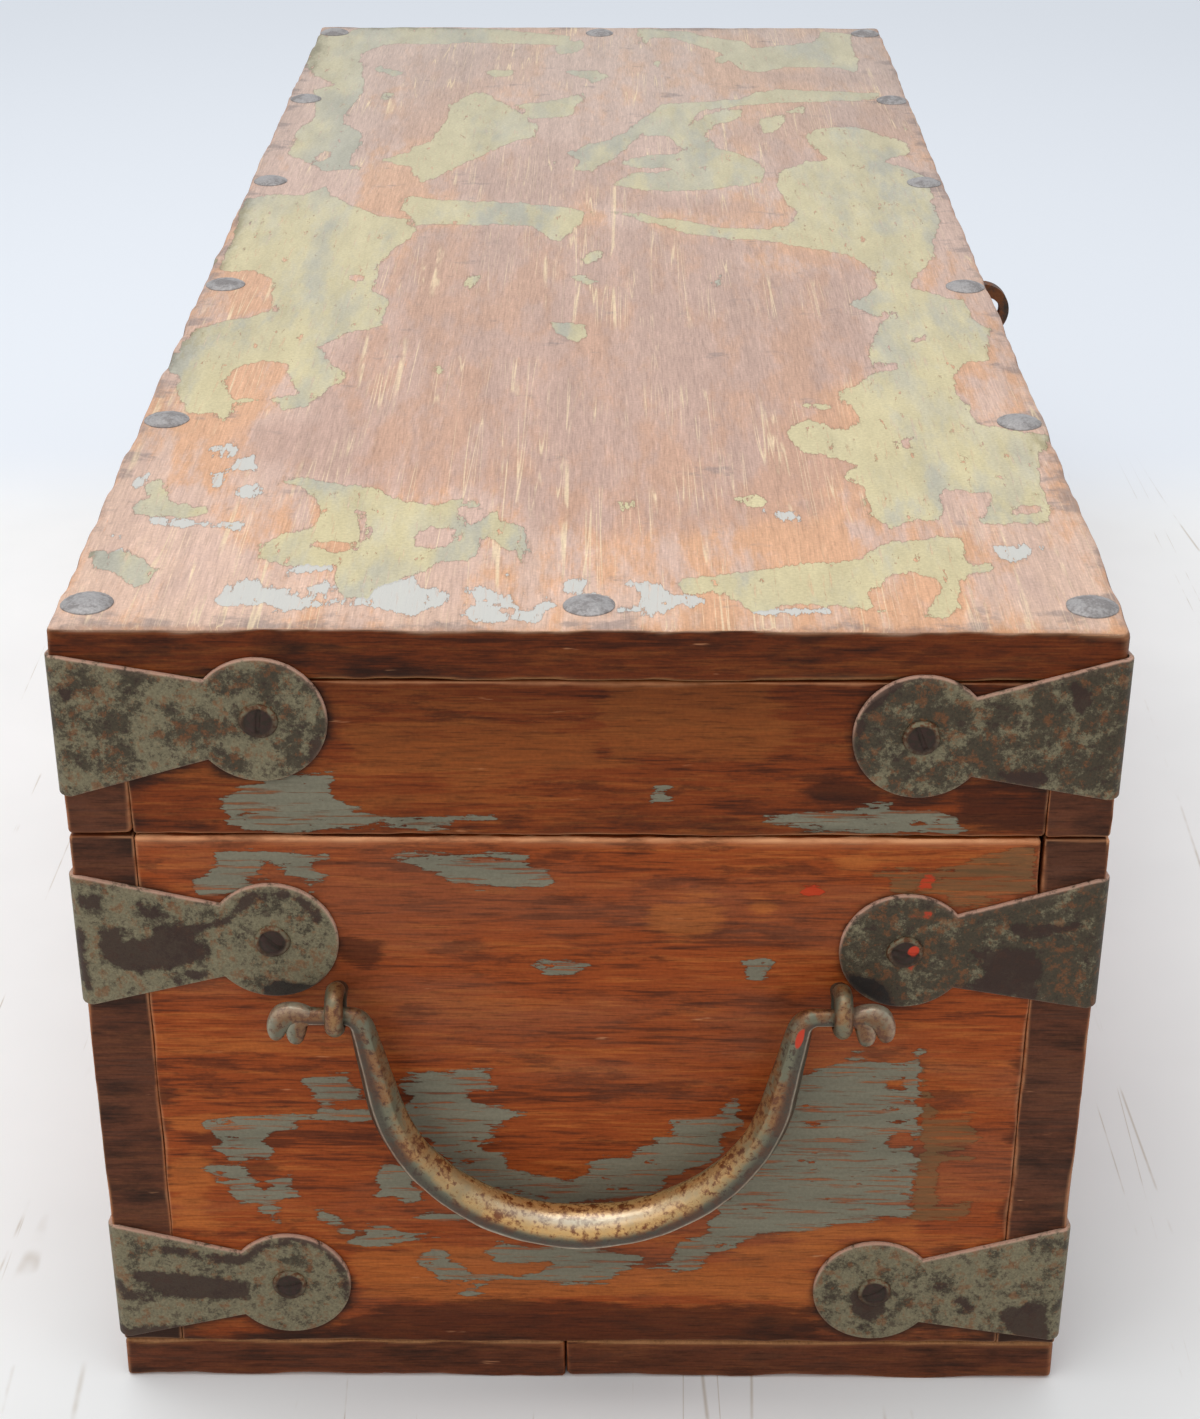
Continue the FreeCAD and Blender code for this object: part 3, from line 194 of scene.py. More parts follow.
# Marks on the near end's straps, across and up: rust through the paint, the black iron that the
# handles have scraped bare, and specks of red paint.
STRAP_PATCHES = outlines("""
rust -115,138 -110,139 -109,135 -103,136 -102,139 -88,140 -93,135 -89,132 -92,129 -106,126 -115,129
rust -105,146 -97,142 -103,141 -106,143
rust -96,138 -86,141 -80,148 -73,149 -67,148 -62,141 -64,140 -68,146 -73,147 -78,146 -86,139
rust -120,139 -118,137 -119,131 -118,121 -119,120 -121,126
rust -120,148 -114,147 -113,143 -118,143
rust -99,126 -90,127 -90,125 -98,123
scrape -78,121 -75,124 -65,123 -61,126 -60,124 -62,121 -65,119 -70,118 -75,118 -77,119
rust -118,202 -115,202 -115,200 -118,198
rust -63,188 -60,191 -60,186 -63,183
scrape 60,127 70,124 73,116 63,122
rust 98,140 117,141 111,138 100,136
rust 90,133 104,134 107,128 106,119 87,122 94,126
rust 107,204 112,203 112,198 110,194 108,198
rust 93,181 101,182 106,179 100,177 94,179
rust 61,198 66,204 71,205 63,196 61,192 61,184 60,192
red 73,133 76,132 77,130 76,127 75,128 75,131
red 78,153 79,153 79,150 78,150
red 75,143 80,144 80,142 75,142
rust -117,34 -112,36 -101,35 -87,32 -87,27 -97,26 -106,27
rust -121,33 -115,29 -108,27 -114,26 -120,27
rust -109,44 -96,41 -87,41 -83,45 -74,47 -67,46 -62,38 -61,30 -62,23 -63,35 -66,42 -74,45 -82,43
 -87,38 -96,39 -108,42
rust -121,17 -104,18 -107,13 -120,13
rust 66,30 71,31 75,28 76,23 71,20 67,23
rust 86,31 90,34 92,33 87,29 87,23
rust 93,28 97,28 98,24 94,24
rust 104,23 112,27 117,26 118,14 110,14
""")

# Places where the wood is darker or lighter than the rest, drawn in the same way.
TOP_TONES = outlines("""
dark -67,-33 -55,4 -2,10 30,0 84,-36 85,-62 78,-77 81,-98 78,-130 65,-154 58,-177 68,-199 62,-219
 44,-236 5,-248 -13,-239 -25,-220 -52,-220 -87,-200 -93,-178 -78,-167 -74,-106 -64,-92
light 44,-24 68,-28 72,-40 52,-48
dark -62,48 -49,78 -23,114 3,104 18,49 52,34 46,13 5,26 -36,33
dark 45,125 85,171 121,172 122,115 108,110 91,131 76,120 78,79 61,64 57,94
dark -76,239 -46,260 -20,247 -28,195 -48,176 -62,114 -83,103 -74,170
dark 62,221 119,214 120,194 93,193 66,203
dark 43,-219 58,-219 63,-226 50,-238 41,-233
""")

END_TONES = outlines("""
dark -76,15 -66,15 -57,23 -49,25 -30,24 3,26 48,24 56,22 59,16 70,13 121,16 120,1 3,-1 -119,1
 -120,15
dark 50,177 55,180 61,179 65,173 60,171 53,173
dark 85,175 104,175 106,165 85,169
dark -60,135 -51,132 -52,127 -58,129
dark -107,92 -101,92 -100,87 -106,85
dark -106,169 -85,167 -85,164 -107,164
dark -123,215 -92,215 -89,204 -117,207
dark 72,216 119,216 119,210 84,202 67,207
dark -120,117 -110,116 -106,88 -107,51 -120,51
dark 105,113 119,113 119,50 105,47
light -58,42 -37,43 3,39 3,27 -30,25 -58,27 -61,36
light 3,39 27,37 55,50 81,51 82,46 66,44 58,35 56,26 3,27
light -111,103 -102,83 -72,88 -67,85 -91,81 -94,75 -102,72 -105,64 -105,49 -93,46 -95,56 -94,69
light -35,43 -23,43 -12,38 -13,34 -25,38 -33,37
light 15,145 27,147 32,142 30,134 20,133 14,138
light 38,147 44,147 45,142 39,141
light 56,158 64,159 66,154 58,152
light -55,190 -27,192 3,191 3,180 -27,179 -51,182
light 2,204 26,205 41,203 47,191 38,180 3,181
light 37,9 47,11 54,9 48,5 37,6
light 62,4 69,5 71,2 64,1
""")

# ---------------------------------------------------------------- settings


def linear(code):
    """Turn an sRGB colour written as hex digits into linear red, green, blue and alpha."""
    parts = [int(code[start:start + 2], 16) / 255 for start in (1, 3, 5)]
    return tuple(
        part / 12.92 if part <= 0.04045 else ((part + 0.055) / 1.055) ** 2.4 for part in parts
    ) + (1.0,)


def colour_of(description, code):
    return bpy.props.FloatVectorProperty(
        name=description.split(",")[0], description=description, default=linear(code), size=4,
        min=0, max=1, subtype="COLOR",
    )


def length_of(description, millimetres):
    return bpy.props.FloatProperty(
        name=description.split(",")[0], description=description, default=millimetres * MM,
        precision=5, subtype="DISTANCE", unit="LENGTH",
    )


def strength_of(description, strength, unit="NONE"):
    return bpy.props.FloatProperty(
        name=description.split(",")[0], description=description, default=strength, min=0,
        unit=unit,
    )


class WoodSettings(bpy.types.PropertyGroup):
    side: colour_of("Sides, oiled teak", "#93441b")
    # Dark side also colours the painted shadow along the edges of the paint.
    side_dark: colour_of("Dark side, streaks and stains of the sides", "#4c2413")
    side_light: colour_of("Light side, freshly rubbed places", "#b5672f")
    # The top's colours are sun-bleached teak made paler still by painted sheen.
    top: colour_of("Top, sun-bleached teak of the lid", "#d6b6a6")
    top_orange: colour_of("Orange top, where the bleached wood kept its colour", "#dca983")
    top_dark: colour_of("Dark top, places that kept their oil", "#bd9a8a")
    top_light: colour_of("Light top, worn clean", "#e0bea8")
    smudge: colour_of("Smudges, of grey dirt on top", "#8a7f7c")
    # Dusty sides: dust on the oil, and a painted sheen laid in broad patches.
    dusty: colour_of("Dusty sides, dull places of the oil", "#85523a")
    faded: colour_of("Faded top, bleached most", "#c6b6aa")
    end_grain: colour_of("End grain, sawn ends of the side boards", "#563a2c")
    worn: colour_of("Worn edge, rubbed down to clean wood", "#e3a274")
    scratch: colour_of("Scratches, fine lines on top", "#f3dcb6")
    # Dirt also colours the painted shade round the near end's straps and along the lid rim's lower
    # edge.
    dirt: colour_of("Dirt, old grime and polish", "#2c1c14")
    inside: colour_of("Inside, clean teak", "#a47448")
    streak: length_of("Streak, width of a streak of the grain", 3.4)
    fibre: length_of("Fibre, width of a pore or a bundle of fibres", 0.42)
    ring: length_of("Ring, growth rings as they meet the board's face", 9.0)
    edge: length_of("Edge radius, boards", 0.9)
    top_edge: length_of("Lid edge radius, upper edge of the lid", 1.6)


class PaintSettings(bpy.types.PropertyGroup):
    side: colour_of("Side paint, dull grey-green", "#7a7766")
    side_faint: colour_of("Faint paint, thin and stained brown", "#6f5b3c")
    # The top's paint colours are paler than the side paint, partly by painted sheen.
    top: colour_of("Top paint, chalky olive", "#c9c1a3")
    top_stain: colour_of("Stained top paint, greyer", "#b1afa0")
    top_yellow: colour_of("Yellow top paint, rubbed thin", "#d2c597")
    primer: colour_of("Primer, pale grey first coat", "#c9cbc6")
    red: colour_of("Red, specks of red paint", "#c23a1e")
    ragged: length_of("Ragged edge, how far a patch's edge wanders", 6.0)
    flake: length_of("Flake, size of a flake that has come away", 3.0)


class IronSettings(bpy.types.PropertyGroup):
    paint: colour_of("Strap paint, grey-green", "#7a7259")
    dirt: colour_of("Strap dirt, olive-brown", "#2e2318")
    rust: colour_of("Rust, dark brown", "#38241d")
    rust_rim: colour_of("Fresh rust, brown", "#7a4a28")
    bare: colour_of("Bare iron, black and scraped", "#1d1918")
    # Worn rim: rubbed paint on the straps' edges, brighter along their upper edges as a painted
    # highlight.
    worn: colour_of("Worn rim, pale and rubbed", "#cfa48e")
    # Golden rust lies where hands rub, on the handles' upper side, where it also stands for
    # painted light from above.
    gold: colour_of("Golden rust, polished by hands", "#dcae6c")
    amber: colour_of("Amber rust, speckles in the gold", "#7a4420")
    brown: colour_of("Brown iron, between gold and shade", "#70462b")
    olive: colour_of("Olive, old paint on the handles", "#706d58")
    # Dark iron: its own colour on hinges and nails, and painted shade on the handles' undersides.
    shade: colour_of("Dark iron, on undersides", "#3c322b")
    # Pale iron: a painted highlight on the grip's top, and a painted reflection of the floor along
    # the bars' lower outer edges.
    pale: colour_of("Pale iron, polished bright along the edges", "#e6dac2")
    nail: colour_of("Nail heads, dark grey", "#9d9997")
    nail_dark: colour_of("Dark nail heads, where the grey has rubbed off", "#827d7b")
    sheet: length_of("Sheet, thickness of the strap iron", 1.2)
    dimple: length_of("Dimple, depth of a strap round its screw", 0.35)


class StageSettings(bpy.types.PropertyGroup):
    floor: colour_of("Floor, pale paint", "#fafbfa")
    far_floor: colour_of("Far floor, cooler paint", "#ebf0f6")
    backdrop: colour_of("Backdrop, pale blue-white", "#e2e9f1")
    crack: colour_of("Floor scratches, fine and brown", "#a8926f")
    sky: strength_of("Sky, the even light all round", 0.67)
    above: strength_of("Light above, large and soft", 19.5, "POWER")
    front: strength_of("Light in front, low and soft", 5.0, "POWER")


# ---------------------------------------------------------------- surfaces

OUTSIDE = -20.0  # a patch's field where there is no such patch


def unit(values):
    """Values cut off below nought and above one."""
    return np.clip(values, 0, 1)


def bell(values, width):
    """A rounded hill, one high at nought: exp(-(value / width) squared)."""
    return np.exp(-(values / width) ** 2)


def circle(count):
    """Angles evenly round a whole turn."""
    return np.linspace(0, 2 * math.pi, count, endpoint=False)


def spread(*parts):
    """Points, or rows of numbers, from parts that are spread over each other."""
    return np.stack(np.broadcast_arrays(*parts), axis=-1)


def normalised(ways):
    return ways / np.linalg.norm(ways, axis=-1, keepdims=True)


def ripple(points, wavelength, seed, waves=12):
    """Slow wander between about -1 and 1.

    The sum of plane waves, sin(direction . point + phase), with directions and phases drawn
    from the seed and lengths from two thirds to twice the wavelength.
    """
    drawn = np.random.default_rng(seed)
    ways = normalised(drawn.normal(size=(waves, 3)))
    ways *= 2 * math.pi / wavelength * drawn.uniform(0.5, 1.5, (waves, 1))
    phases = drawn.uniform(0, 2 * math.pi, waves)
    return np.sin(points @ ways.T + phases).sum(axis=-1) / math.sqrt(waves / 2) / 1.6


def turned(points, degrees):
    """Points turned about the upright axis."""
    cos, sin = math.cos(math.radians(degrees)), math.sin(math.radians(degrees))
    return points @ np.array([[cos, sin, 0], [-sin, cos, 0], [0, 0, 1]])


def half_size(wall):
    """How far a wall of the chest stands from its middle."""
    return HALF_LENGTH if wall in ("near", "far") else HALF_WIDTH


def on_wall(points, wall):
    """Points drawn along a wall, out from it (as -Y) and up, moved to that wall of the chest."""
    return turned(points + np.array([0, -half_size(wall), 0]), WALL_TURN[wall])


def grid_quads(rows, columns, round_rows=False, round_columns=False):
    """Corner numbers of the quads between a grid's points, numbered row by row.  A round
    direction joins its last line to its first."""
    row = np.arange(rows if round_rows else rows - 1)[:, None]
    column = np.arange(columns if round_columns else columns - 1)[None, :]
    next_row, next_column = (row + 1) % rows, (column + 1) % columns
    return spread(
        row * columns + column, row * columns + next_column,
        next_row * columns + next_column, next_row * columns + column,
    ).reshape(-1, 4)


class Sheets:
    """Gathers grids of points, in millimetres, with their fields, into one mesh."""

    def __init__(self):
        self.points, self.quads, self.fields, self.count = [], [], {}, 0

    def add(self, grid, fields=None, **round_ways):
        rows, columns = grid.shape[:2]
        self.quads.append(grid_quads(rows, columns, **round_ways) + self.count)
        self.points.append(grid.reshape(-1, 3))
        for name, values in (fields or {}).items():
            self.fields.setdefault(name, []).append((self.count, values.reshape(-1)))
        self.count += rows * columns

    def mesh(self, name):
        """Weld the grids' seams and poles, and turn every face outwards."""
        mesh = bpy.data.meshes.new(name)
        points = np.concatenate(self.points) * MM
        mesh.from_pydata(points.tolist(), [], np.concatenate(self.quads).tolist())
        for field, pieces in self.fields.items():
            values = np.zeros(self.count, np.float32)
            for start, part in pieces:
                values[start:start + len(part)] = part
            mesh.attributes.new(field, "FLOAT", "POINT").data.foreach_set("value", values)
        welded = bmesh.new()
        welded.from_mesh(mesh)
        bmesh.ops.remove_doubles(welded, verts=welded.verts, dist=0.004 * MM)
        bmesh.ops.dissolve_degenerate(welded, edges=welded.edges, dist=0.001 * MM)
        bmesh.ops.recalc_face_normals(welded, faces=welded.faces)
        welded.to_mesh(mesh)
        welded.free()
        mesh.shade_smooth()
        return mesh


def put_piece(name, sheets, material, body, replaced):
    """Make the object, ride it on its body and let it stand for its CAD nodes."""
    made = bpy.data.objects.new(name, sheets.mesh(name))
    made.data.materials.append(material)
    bpy.context.scene.collection.objects.link(made)
    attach(made, body)
    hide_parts(*replaced)


def patch_distance(points, patches, kind, hole="bare"):
    """How far flat points lie inside the outlines of a kind, in millimetres, negative outside:
    the largest distance to an outline, cut back by the holes drawn after it."""
    depth = np.full(points.shape[:-1], OUTSIDE)
    for drawn, outline in patches:
        if drawn not in (kind, hole):
            continue
        start = np.array(outline, float)
        end = np.roll(start, -1, axis=0)
        edge = end - start
        offset = points[..., None, :] - start
        length = np.maximum((edge * edge).sum(-1), 1e-9)
        share = unit((offset * edge).sum(-1) / length)
        away = np.linalg.norm(offset - share[..., None] * edge, axis=-1).min(-1)
        level = points[..., None, 1]
        crossing = (start[:, 1] > level) != (end[:, 1] > level)
        slope = edge[:, 0] / np.where(edge[:, 1] == 0, 1e-9, edge[:, 1])
        right = start[:, 0] + (level - start[:, 1]) * slope > points[..., None, 0]
        signed = np.where((crossing & right).sum(-1) % 2 == 1, away, -away)
        depth = np.minimum(depth, -signed) if drawn == hole else np.maximum(depth, signed)
    return np.clip(depth, OUTSIDE, -OUTSIDE)


# ---------------------------------------------------------------- materials

# Nodes that go by a plainer name here, with their settings.  A Math node goes by its operation.
PLAIN_NAMES = {
    "Level": ("MapRange", {"interpolation_type": "SMOOTHSTEP"}),
    "Blend": ("Mix", {"data_type": "RGBA"}),
    "Brighten": ("VectorMath", {"operation": "SCALE"}),
}


def add(tree, kind, *inputs, out=None, named=None, **settings):
    """Add a node, set its properties and fill its inputs, in the order in which the node
    shows them or by name: sockets are linked, values are set and None is left alone.  Gives
    back the named output, or the first."""
    if kind.isupper():
        kind, usual = "Math", {"operation": kind}
    else:
        kind, usual = PLAIN_NAMES.get(kind, (kind, {}))
    made = tree.nodes.new(f"ShaderNode{kind}")
    for name, value in {**usual, **settings}.items():
        setattr(made, name, value)
    shown = [socket for socket in made.inputs if socket.enabled]
    by_name = {socket.name: socket for socket in shown}
    filled = list(zip(shown, inputs))
    filled += [(by_name[name], value) for name, value in (named or {}).items()]
    for socket, value in filled:
        if isinstance(value, bpy.types.NodeSocket):
            tree.links.new(value, socket)
        elif value is not None:
            socket.default_value = value
    if out:
        return made.outputs[out]
    return next((socket for socket in made.outputs if socket.enabled), None)


def new_material(name, *fields):
    """A material with an empty node tree, add() bound to that tree, the object's places and
    the mesh's fields by name."""
    material = bpy.data.materials.new(name)
    material.use_nodes = True
    material.node_tree.nodes.clear()
    node = partial(add, material.node_tree)
    return material, node, node("TexCoord", out="Object"), {
        field: node("Attribute", attribute_name=field, out="Fac") for field in fields}


def finish_material(node, colour, rough, height, depth, metallic=0.0, specular=0.5):
    """Close a material: its shader, a bump of a real depth, and the output."""
    bump = node("Bump", named={"Strength": 1.0, "Distance": depth * MM, "Height": height})
    node("OutputMaterial", node("BsdfPrincipled", named={
        "Base Color": colour, "Roughness": rough, "Metallic": metallic, "Normal": bump,
        "Specular IOR Level": specular,
    }))


def coats(node, colour, *layers):
    """A colour with others laid over it, each by its share."""
    for share, tint in layers:
        colour = node("Blend", share, colour, tint)
    return colour


def fine_lines(node, place, turns, spacing, stretch, slim):
    """Long thin lines that bend a little: the places where a stretched noise crosses one
    half.  One family for each turn about the upright axis."""
    lines = 0.0
    for turn in turns:
        drawn = node("Mapping", place, (turn * 3, turn, 0), (0, 0, turn), (1, stretch, 1))
        drawn = node("SUBTRACT", node("TexNoise", drawn, 1 / spacing, 1, 0.4), 0.5)
        lines = node("MAXIMUM", lines, node("Level", node("ABSOLUTE", drawn), 0, slim, 1, 0))
    return lines


def aged_teak(name, wood, paint):
    """Teak, sawn and planed by hand, oiled, painted twice and worn bare again.

    The eye sees fine streaks, pores and growth rings along the grain, a bleached top made paler
    still by painted sheen, with scratches, grime in the corners, painted shade round the
    straps and along the lid rim, a dull tint of dust and painted sheen on the sides, rubbed
    edges, and flakes of paint, edged by a painted shadow, whose edges follow the grain, which
    runs level on upright sides and along the chest on flat ones.
    """
    material, node, place, field = new_material(
        name, "bleached", "end_grain", "edge", "grime", "tone", "dark", "light", "olive",
        "primer", "faint", "inside", "red", "flat", "faded")
    # The upward faces: sun-bleached, and given painted sheen through their paler colours.
    bleached, zero = field["bleached"], (0, 0, 0)

    def along_grain(share, shift=zero):
        """Places drawn out along the grain."""
        return node("Mix", field["flat"], *(
            node("Mapping", place, shift, zero, scale)
            for scale in ((share, share, 1), (1, share, 1))), data_type="VECTOR")

    # Wood: streaks, growth rings and mottling make the tone; pores and fibres go over it.
    fibres, ragged_way = along_grain(0.06), along_grain(0.25)
    streaks, fine, pores = (
        node("TexNoise", fibres, 1 / size, detail, rough) for size, detail, rough in (
            (wood.streak, 6, 0.66), (1.0 * MM, 3, 0.6), (wood.fibre, 2, 0.5)))
    mottle, hue, dull, wander, flakes = (
        node("TexNoise", ragged_way, 1 / size, detail, rough) for size, detail, rough in (
            (26 * MM, 5, 0.6), (6 * MM, 7, 0.68), (34 * MM, 6, 0.62), (9 * MM, 7, 0.70),
            (paint.flake, 5, 0.68)))
    rings = node("TexWave", fibres, 0.314 / wood.ring, 9.0, 3.0, 1.2, 0.6,
                 bands_direction="DIAGONAL")
    speckle = node("TexNoise", place, 1 / (0.9 * MM), 3, 0.6)
    speckle = node("MapRange", speckle, 0.3, 0.7, 0.90, 1.10)
    tone = 0.0
    for part, share in ((streaks, 0.36), (mottle, 0.22), (fine, 0.38), (rings, 0.06)):
        tone = node("MULTIPLY_ADD", part, share, tone)
    torn = node("Mix", bleached, streaks, wander, data_type="FLOAT")
    wander = node("SUBTRACT", node("ADD", wander, torn), 1.0)
    soft = node("MapRange", bleached, 0, 1, 2.0, 9.0)
    oiled, fresh = (
        node("Level", node("DIVIDE", node("MULTIPLY_ADD", wander, 18.0, field[kind]), soft),
             -0.8, 1.0) for kind in ("dark", "light"))
    # Stain: dirt, and the painted shade that the grime field holds round the straps and along the
    # lid rim's lower edge.
    stain_and_shade = node("Level", node("ADD", hue, field["grime"]), 0.66, 1.02, 0.0, 0.9)

    within = node("Level", tone, 0.40, 0.60, 0.72, 1.12)
    # Dust and painted sheen: a paler, duller tint in broad patches of the sides.
    dust_and_sheen_share = node("MULTIPLY", node("Level", dull, 0.44, 0.60, 0.0, 0.4),
                  node("Level", field["tone"], 0.6, 0.92))
    side = coats(
        node, wood.side_dark,
        (node("Level", tone, 0.41, 0.49, 0.25, 1.0), wood.side),
        (node("Level", tone, 0.50, 0.60, 0.0, 0.55), wood.side_light),
        (node("Level", hue, 0.47, 0.36, 0.0, 0.6), wood.side_dark),
        (dust_and_sheen_share, wood.dusty),
        (node("MULTIPLY", fresh, 0.5), wood.side_light),
        (node("MULTIPLY", oiled, 0.8), wood.side_dark),
        (node("MULTIPLY", field["end_grain"], 0.7), wood.end_grain),
        (field["inside"], node("Brighten", wood.inside[:3], named={"Scale": within})),
        (stain_and_shade, wood.dirt),
    )

    warm = node("MULTIPLY_ADD", dull, 1.6, node("ADD", hue, mottle))
    bright = node("MapRange", tone, 0.36, 0.62, 0.85, 1.10)
    smudge, broken = (
        node("TexNoise", node("Mapping", place, shift, zero, scale), 1 / size, detail, rough)
        for shift, scale, size, detail, rough in (
            ((7, 3, 1), (1, 1.6, 1), 20 * MM, 6, 0.66), (zero, (1, 0.14, 1), 8 * MM, 4, 0.62)))
    smudge = node("MULTIPLY_ADD", field["grime"], 0.3, smudge)
    worked = node("Level", node("TexNoise", place, 1 / (60 * MM), 3, 0.5), 0.42, 0.56)
    broken = node("MULTIPLY", node("Level", broken, 0.46, 0.56, 0.0, 0.75), worked)
    scratched = fine_lines(node, place, (0.04, -0.1, 0.22, -0.38), 6 * MM, 0.015, 0.007)
    top = coats(
        node, wood.top,
        (fresh, wood.top_light),
        (node("Level", warm, 1.70, 1.98, 0.0, 0.9), wood.top_orange),
        (node("MULTIPLY", oiled, 0.62), wood.top_dark),
        (field["faded"], wood.faded),
    )
    top = coats(
        node, node("Brighten", top, named={"Scale": bright}),
        (node("Level", smudge, 0.60, 0.72, 0.0, 0.55), wood.smudge),
        (node("MULTIPLY", scratched, broken), wood.scratch),
    )

    pore = node("MULTIPLY", node("Level", pores, 0.56, 0.66),
                node("MapRange", bleached, 0, 1, 0.28, 0.13))
    shade = node("ADD", node("SUBTRACT", 1.0, pore), node("Level", pores, 0.30, 0.46, 0.15, 0.0))
    # The tone field scales the colour; it holds painted shade on the near lid rim and painted
    # light across the lid's top.
    for share in (speckle, field["tone"]):
        shade = node("MULTIPLY", shade, share)
    colour = node("Brighten", node("Blend", bleached, side, top), named={"Scale": shade})

    # Rubbed edges and light knocks along the grain.
    knocks = node("TexNoise", along_grain(0.12, (5, 2, 1)), 1 / (2.0 * MM), 3, 0.6)
    knocks = node("Level", knocks, 0.69, 0.76, 0.0, 0.35)
    rubbed = node("MULTIPLY", field["edge"], node("MapRange", hue, 0.36, 0.6, 0.25, 1.0))
    colour = coats(node, colour, (node("MAXIMUM", rubbed, knocks), wood.worn))

    # Paint: a patch's outline wanders by the ragged width, small flakes are missing, wood
    # shows through along the grain, a painted shadow lies just outside each patch's edge, and
    # grime and painted shade lie on the paint too.
    thin = node("Mix", bleached, node("Level", fine, 0.53, 0.64, 1.0, 0.25),
                node("Level", fine, 0.58, 0.70, 1.0, 0.6), data_type="FLOAT")
    whole = node("MULTIPLY", node("Level", flakes, 0.635, 0.655, 1.0, 0.0), thin)
    last_coat = coats(
        node, paint.top_stain,
        (node("Level", mottle, 0.38, 0.60), paint.top),
        (node("Level", warm, 1.62, 1.90, 0.0, 0.6), paint.top_yellow),
        (field["faded"], paint.top_stain),
    )
    # Darkens the paint by the stain, which holds dirt and painted shade.
    dirty = node("MULTIPLY", node("MapRange", stain_and_shade, 0.0, 0.9, 1.0, 0.55),
                 node("MapRange", torn, 0.3, 0.7, 0.86, 1.12))
    last_coat = node("Brighten", node("Blend", bleached, paint.side, last_coat),
                     named={"Scale": node("MULTIPLY", dirty, speckle)})
    reach = node("MapRange", bleached, 0, 1, 1.7 * paint.ragged / MM, paint.ragged / MM)
    tatters = node("MULTIPLY", node("SUBTRACT", flakes, 0.5), 4.0)
    tatters = node("MULTIPLY_ADD", wander, reach, tatters)
    cover = 0.0
    for kind, tint, share, ragged in (
        ("faint", paint.side_faint, 0.6, 1.0), ("primer", paint.primer, 0.9, 1.5),
        ("olive", last_coat, 0.97, 1.0), ("red", paint.red, 0.8, 0.5),
    ):
        inside = node("MULTIPLY_ADD", tatters, ragged, field[kind])
        # A painted shadow of the paint's thickness, in the wood's dark colour, just outside each
        # patch's edge.
        painted_edge_shadow = node("ABSOLUTE", node("ADD", inside, 0.25))
        mask = node("MULTIPLY", node("Level", inside, -0.1, 0.15, 0.0, share), whole)
        colour = coats(node, colour, (node("Level", painted_edge_shadow, 0, 0.45, 0.15, 0), wood.side_dark),
                       (mask, tint))
        cover = node("MAXIMUM", cover, mask)

    relief = node("MULTIPLY_ADD", streaks, 0.8, node("MULTIPLY_ADD", pores, -0.5, cover))
    finish_material(node, colour, node("MapRange", cover, 0, 1, 0.5, 0.7), relief, 0.18,
                    specular=0.12)
    return material


def painted_iron(name, iron, paint):
    """Sheet iron, cut and bent cold, brushed with grey-green paint and rusted through it.

    The eye sees dull paint with brown dirt, dark rust patches with a fresh rim, black iron
    where the handles scrape, and pale rubbed edges, brightest along the upper edges as a
    painted highlight.
    """
    material, node, place, field = new_material(name, "rust", "scrape", "red", "edge", "dirty")
    cloud, spots, grit, ragged = (
        node("TexNoise", place, 1 / (size * MM), detail, rough) for size, detail, rough in (
            (7, 9, 0.80), (3.0, 7, 0.76), (0.6, 3, 0.65), (3.4, 7, 0.74)))
    grimy = node("MULTIPLY_ADD", field["dirty"], 0.12, cloud)
    colour = node("Brighten", coats(
        node, iron.paint,
        (node("Level", grimy, 0.51, 0.62, 0.0, 0.82), iron.dirt),
        (node("Level", spots, 0.52, 0.60, 0.0, 0.6), iron.rust_rim),
        (node("Level", spots, 0.45, 0.38, 0.0, 0.6), iron.rust),
    ), named={"Scale": node("MapRange", grit, 0.3, 0.7, 0.72, 1.28)})
    ragged = node("SUBTRACT", ragged, 0.5)
    for kind, reach, rim, tint in (
        ("rust", 8.0, iron.dirt, iron.rust), ("scrape", 3.5, iron.rust, iron.bare),
        ("red", 3.0, iron.rust_rim, paint.red),
    ):
        depth = node("MULTIPLY_ADD", ragged, reach, field[kind])
        colour = coats(node, colour, (node("Level", depth, -0.8, 0.0, 0.0, 0.5), rim),
                       (node("Level", depth, -0.1, 0.4, 0.0, 0.8), tint))
    # Pale rubbed edges, brighter on the upper edges: a painted highlight of light from above.
    edge = node("MULTIPLY", field["edge"], node("Level", spots, 0.36, 0.50, 0.1, 1.0))
    finish_material(node, coats(node, colour, (edge, iron.worn)), 0.55,
                    node("MULTIPLY_ADD", cloud, 1.5, spots), 0.25, specular=0.24)
    return material


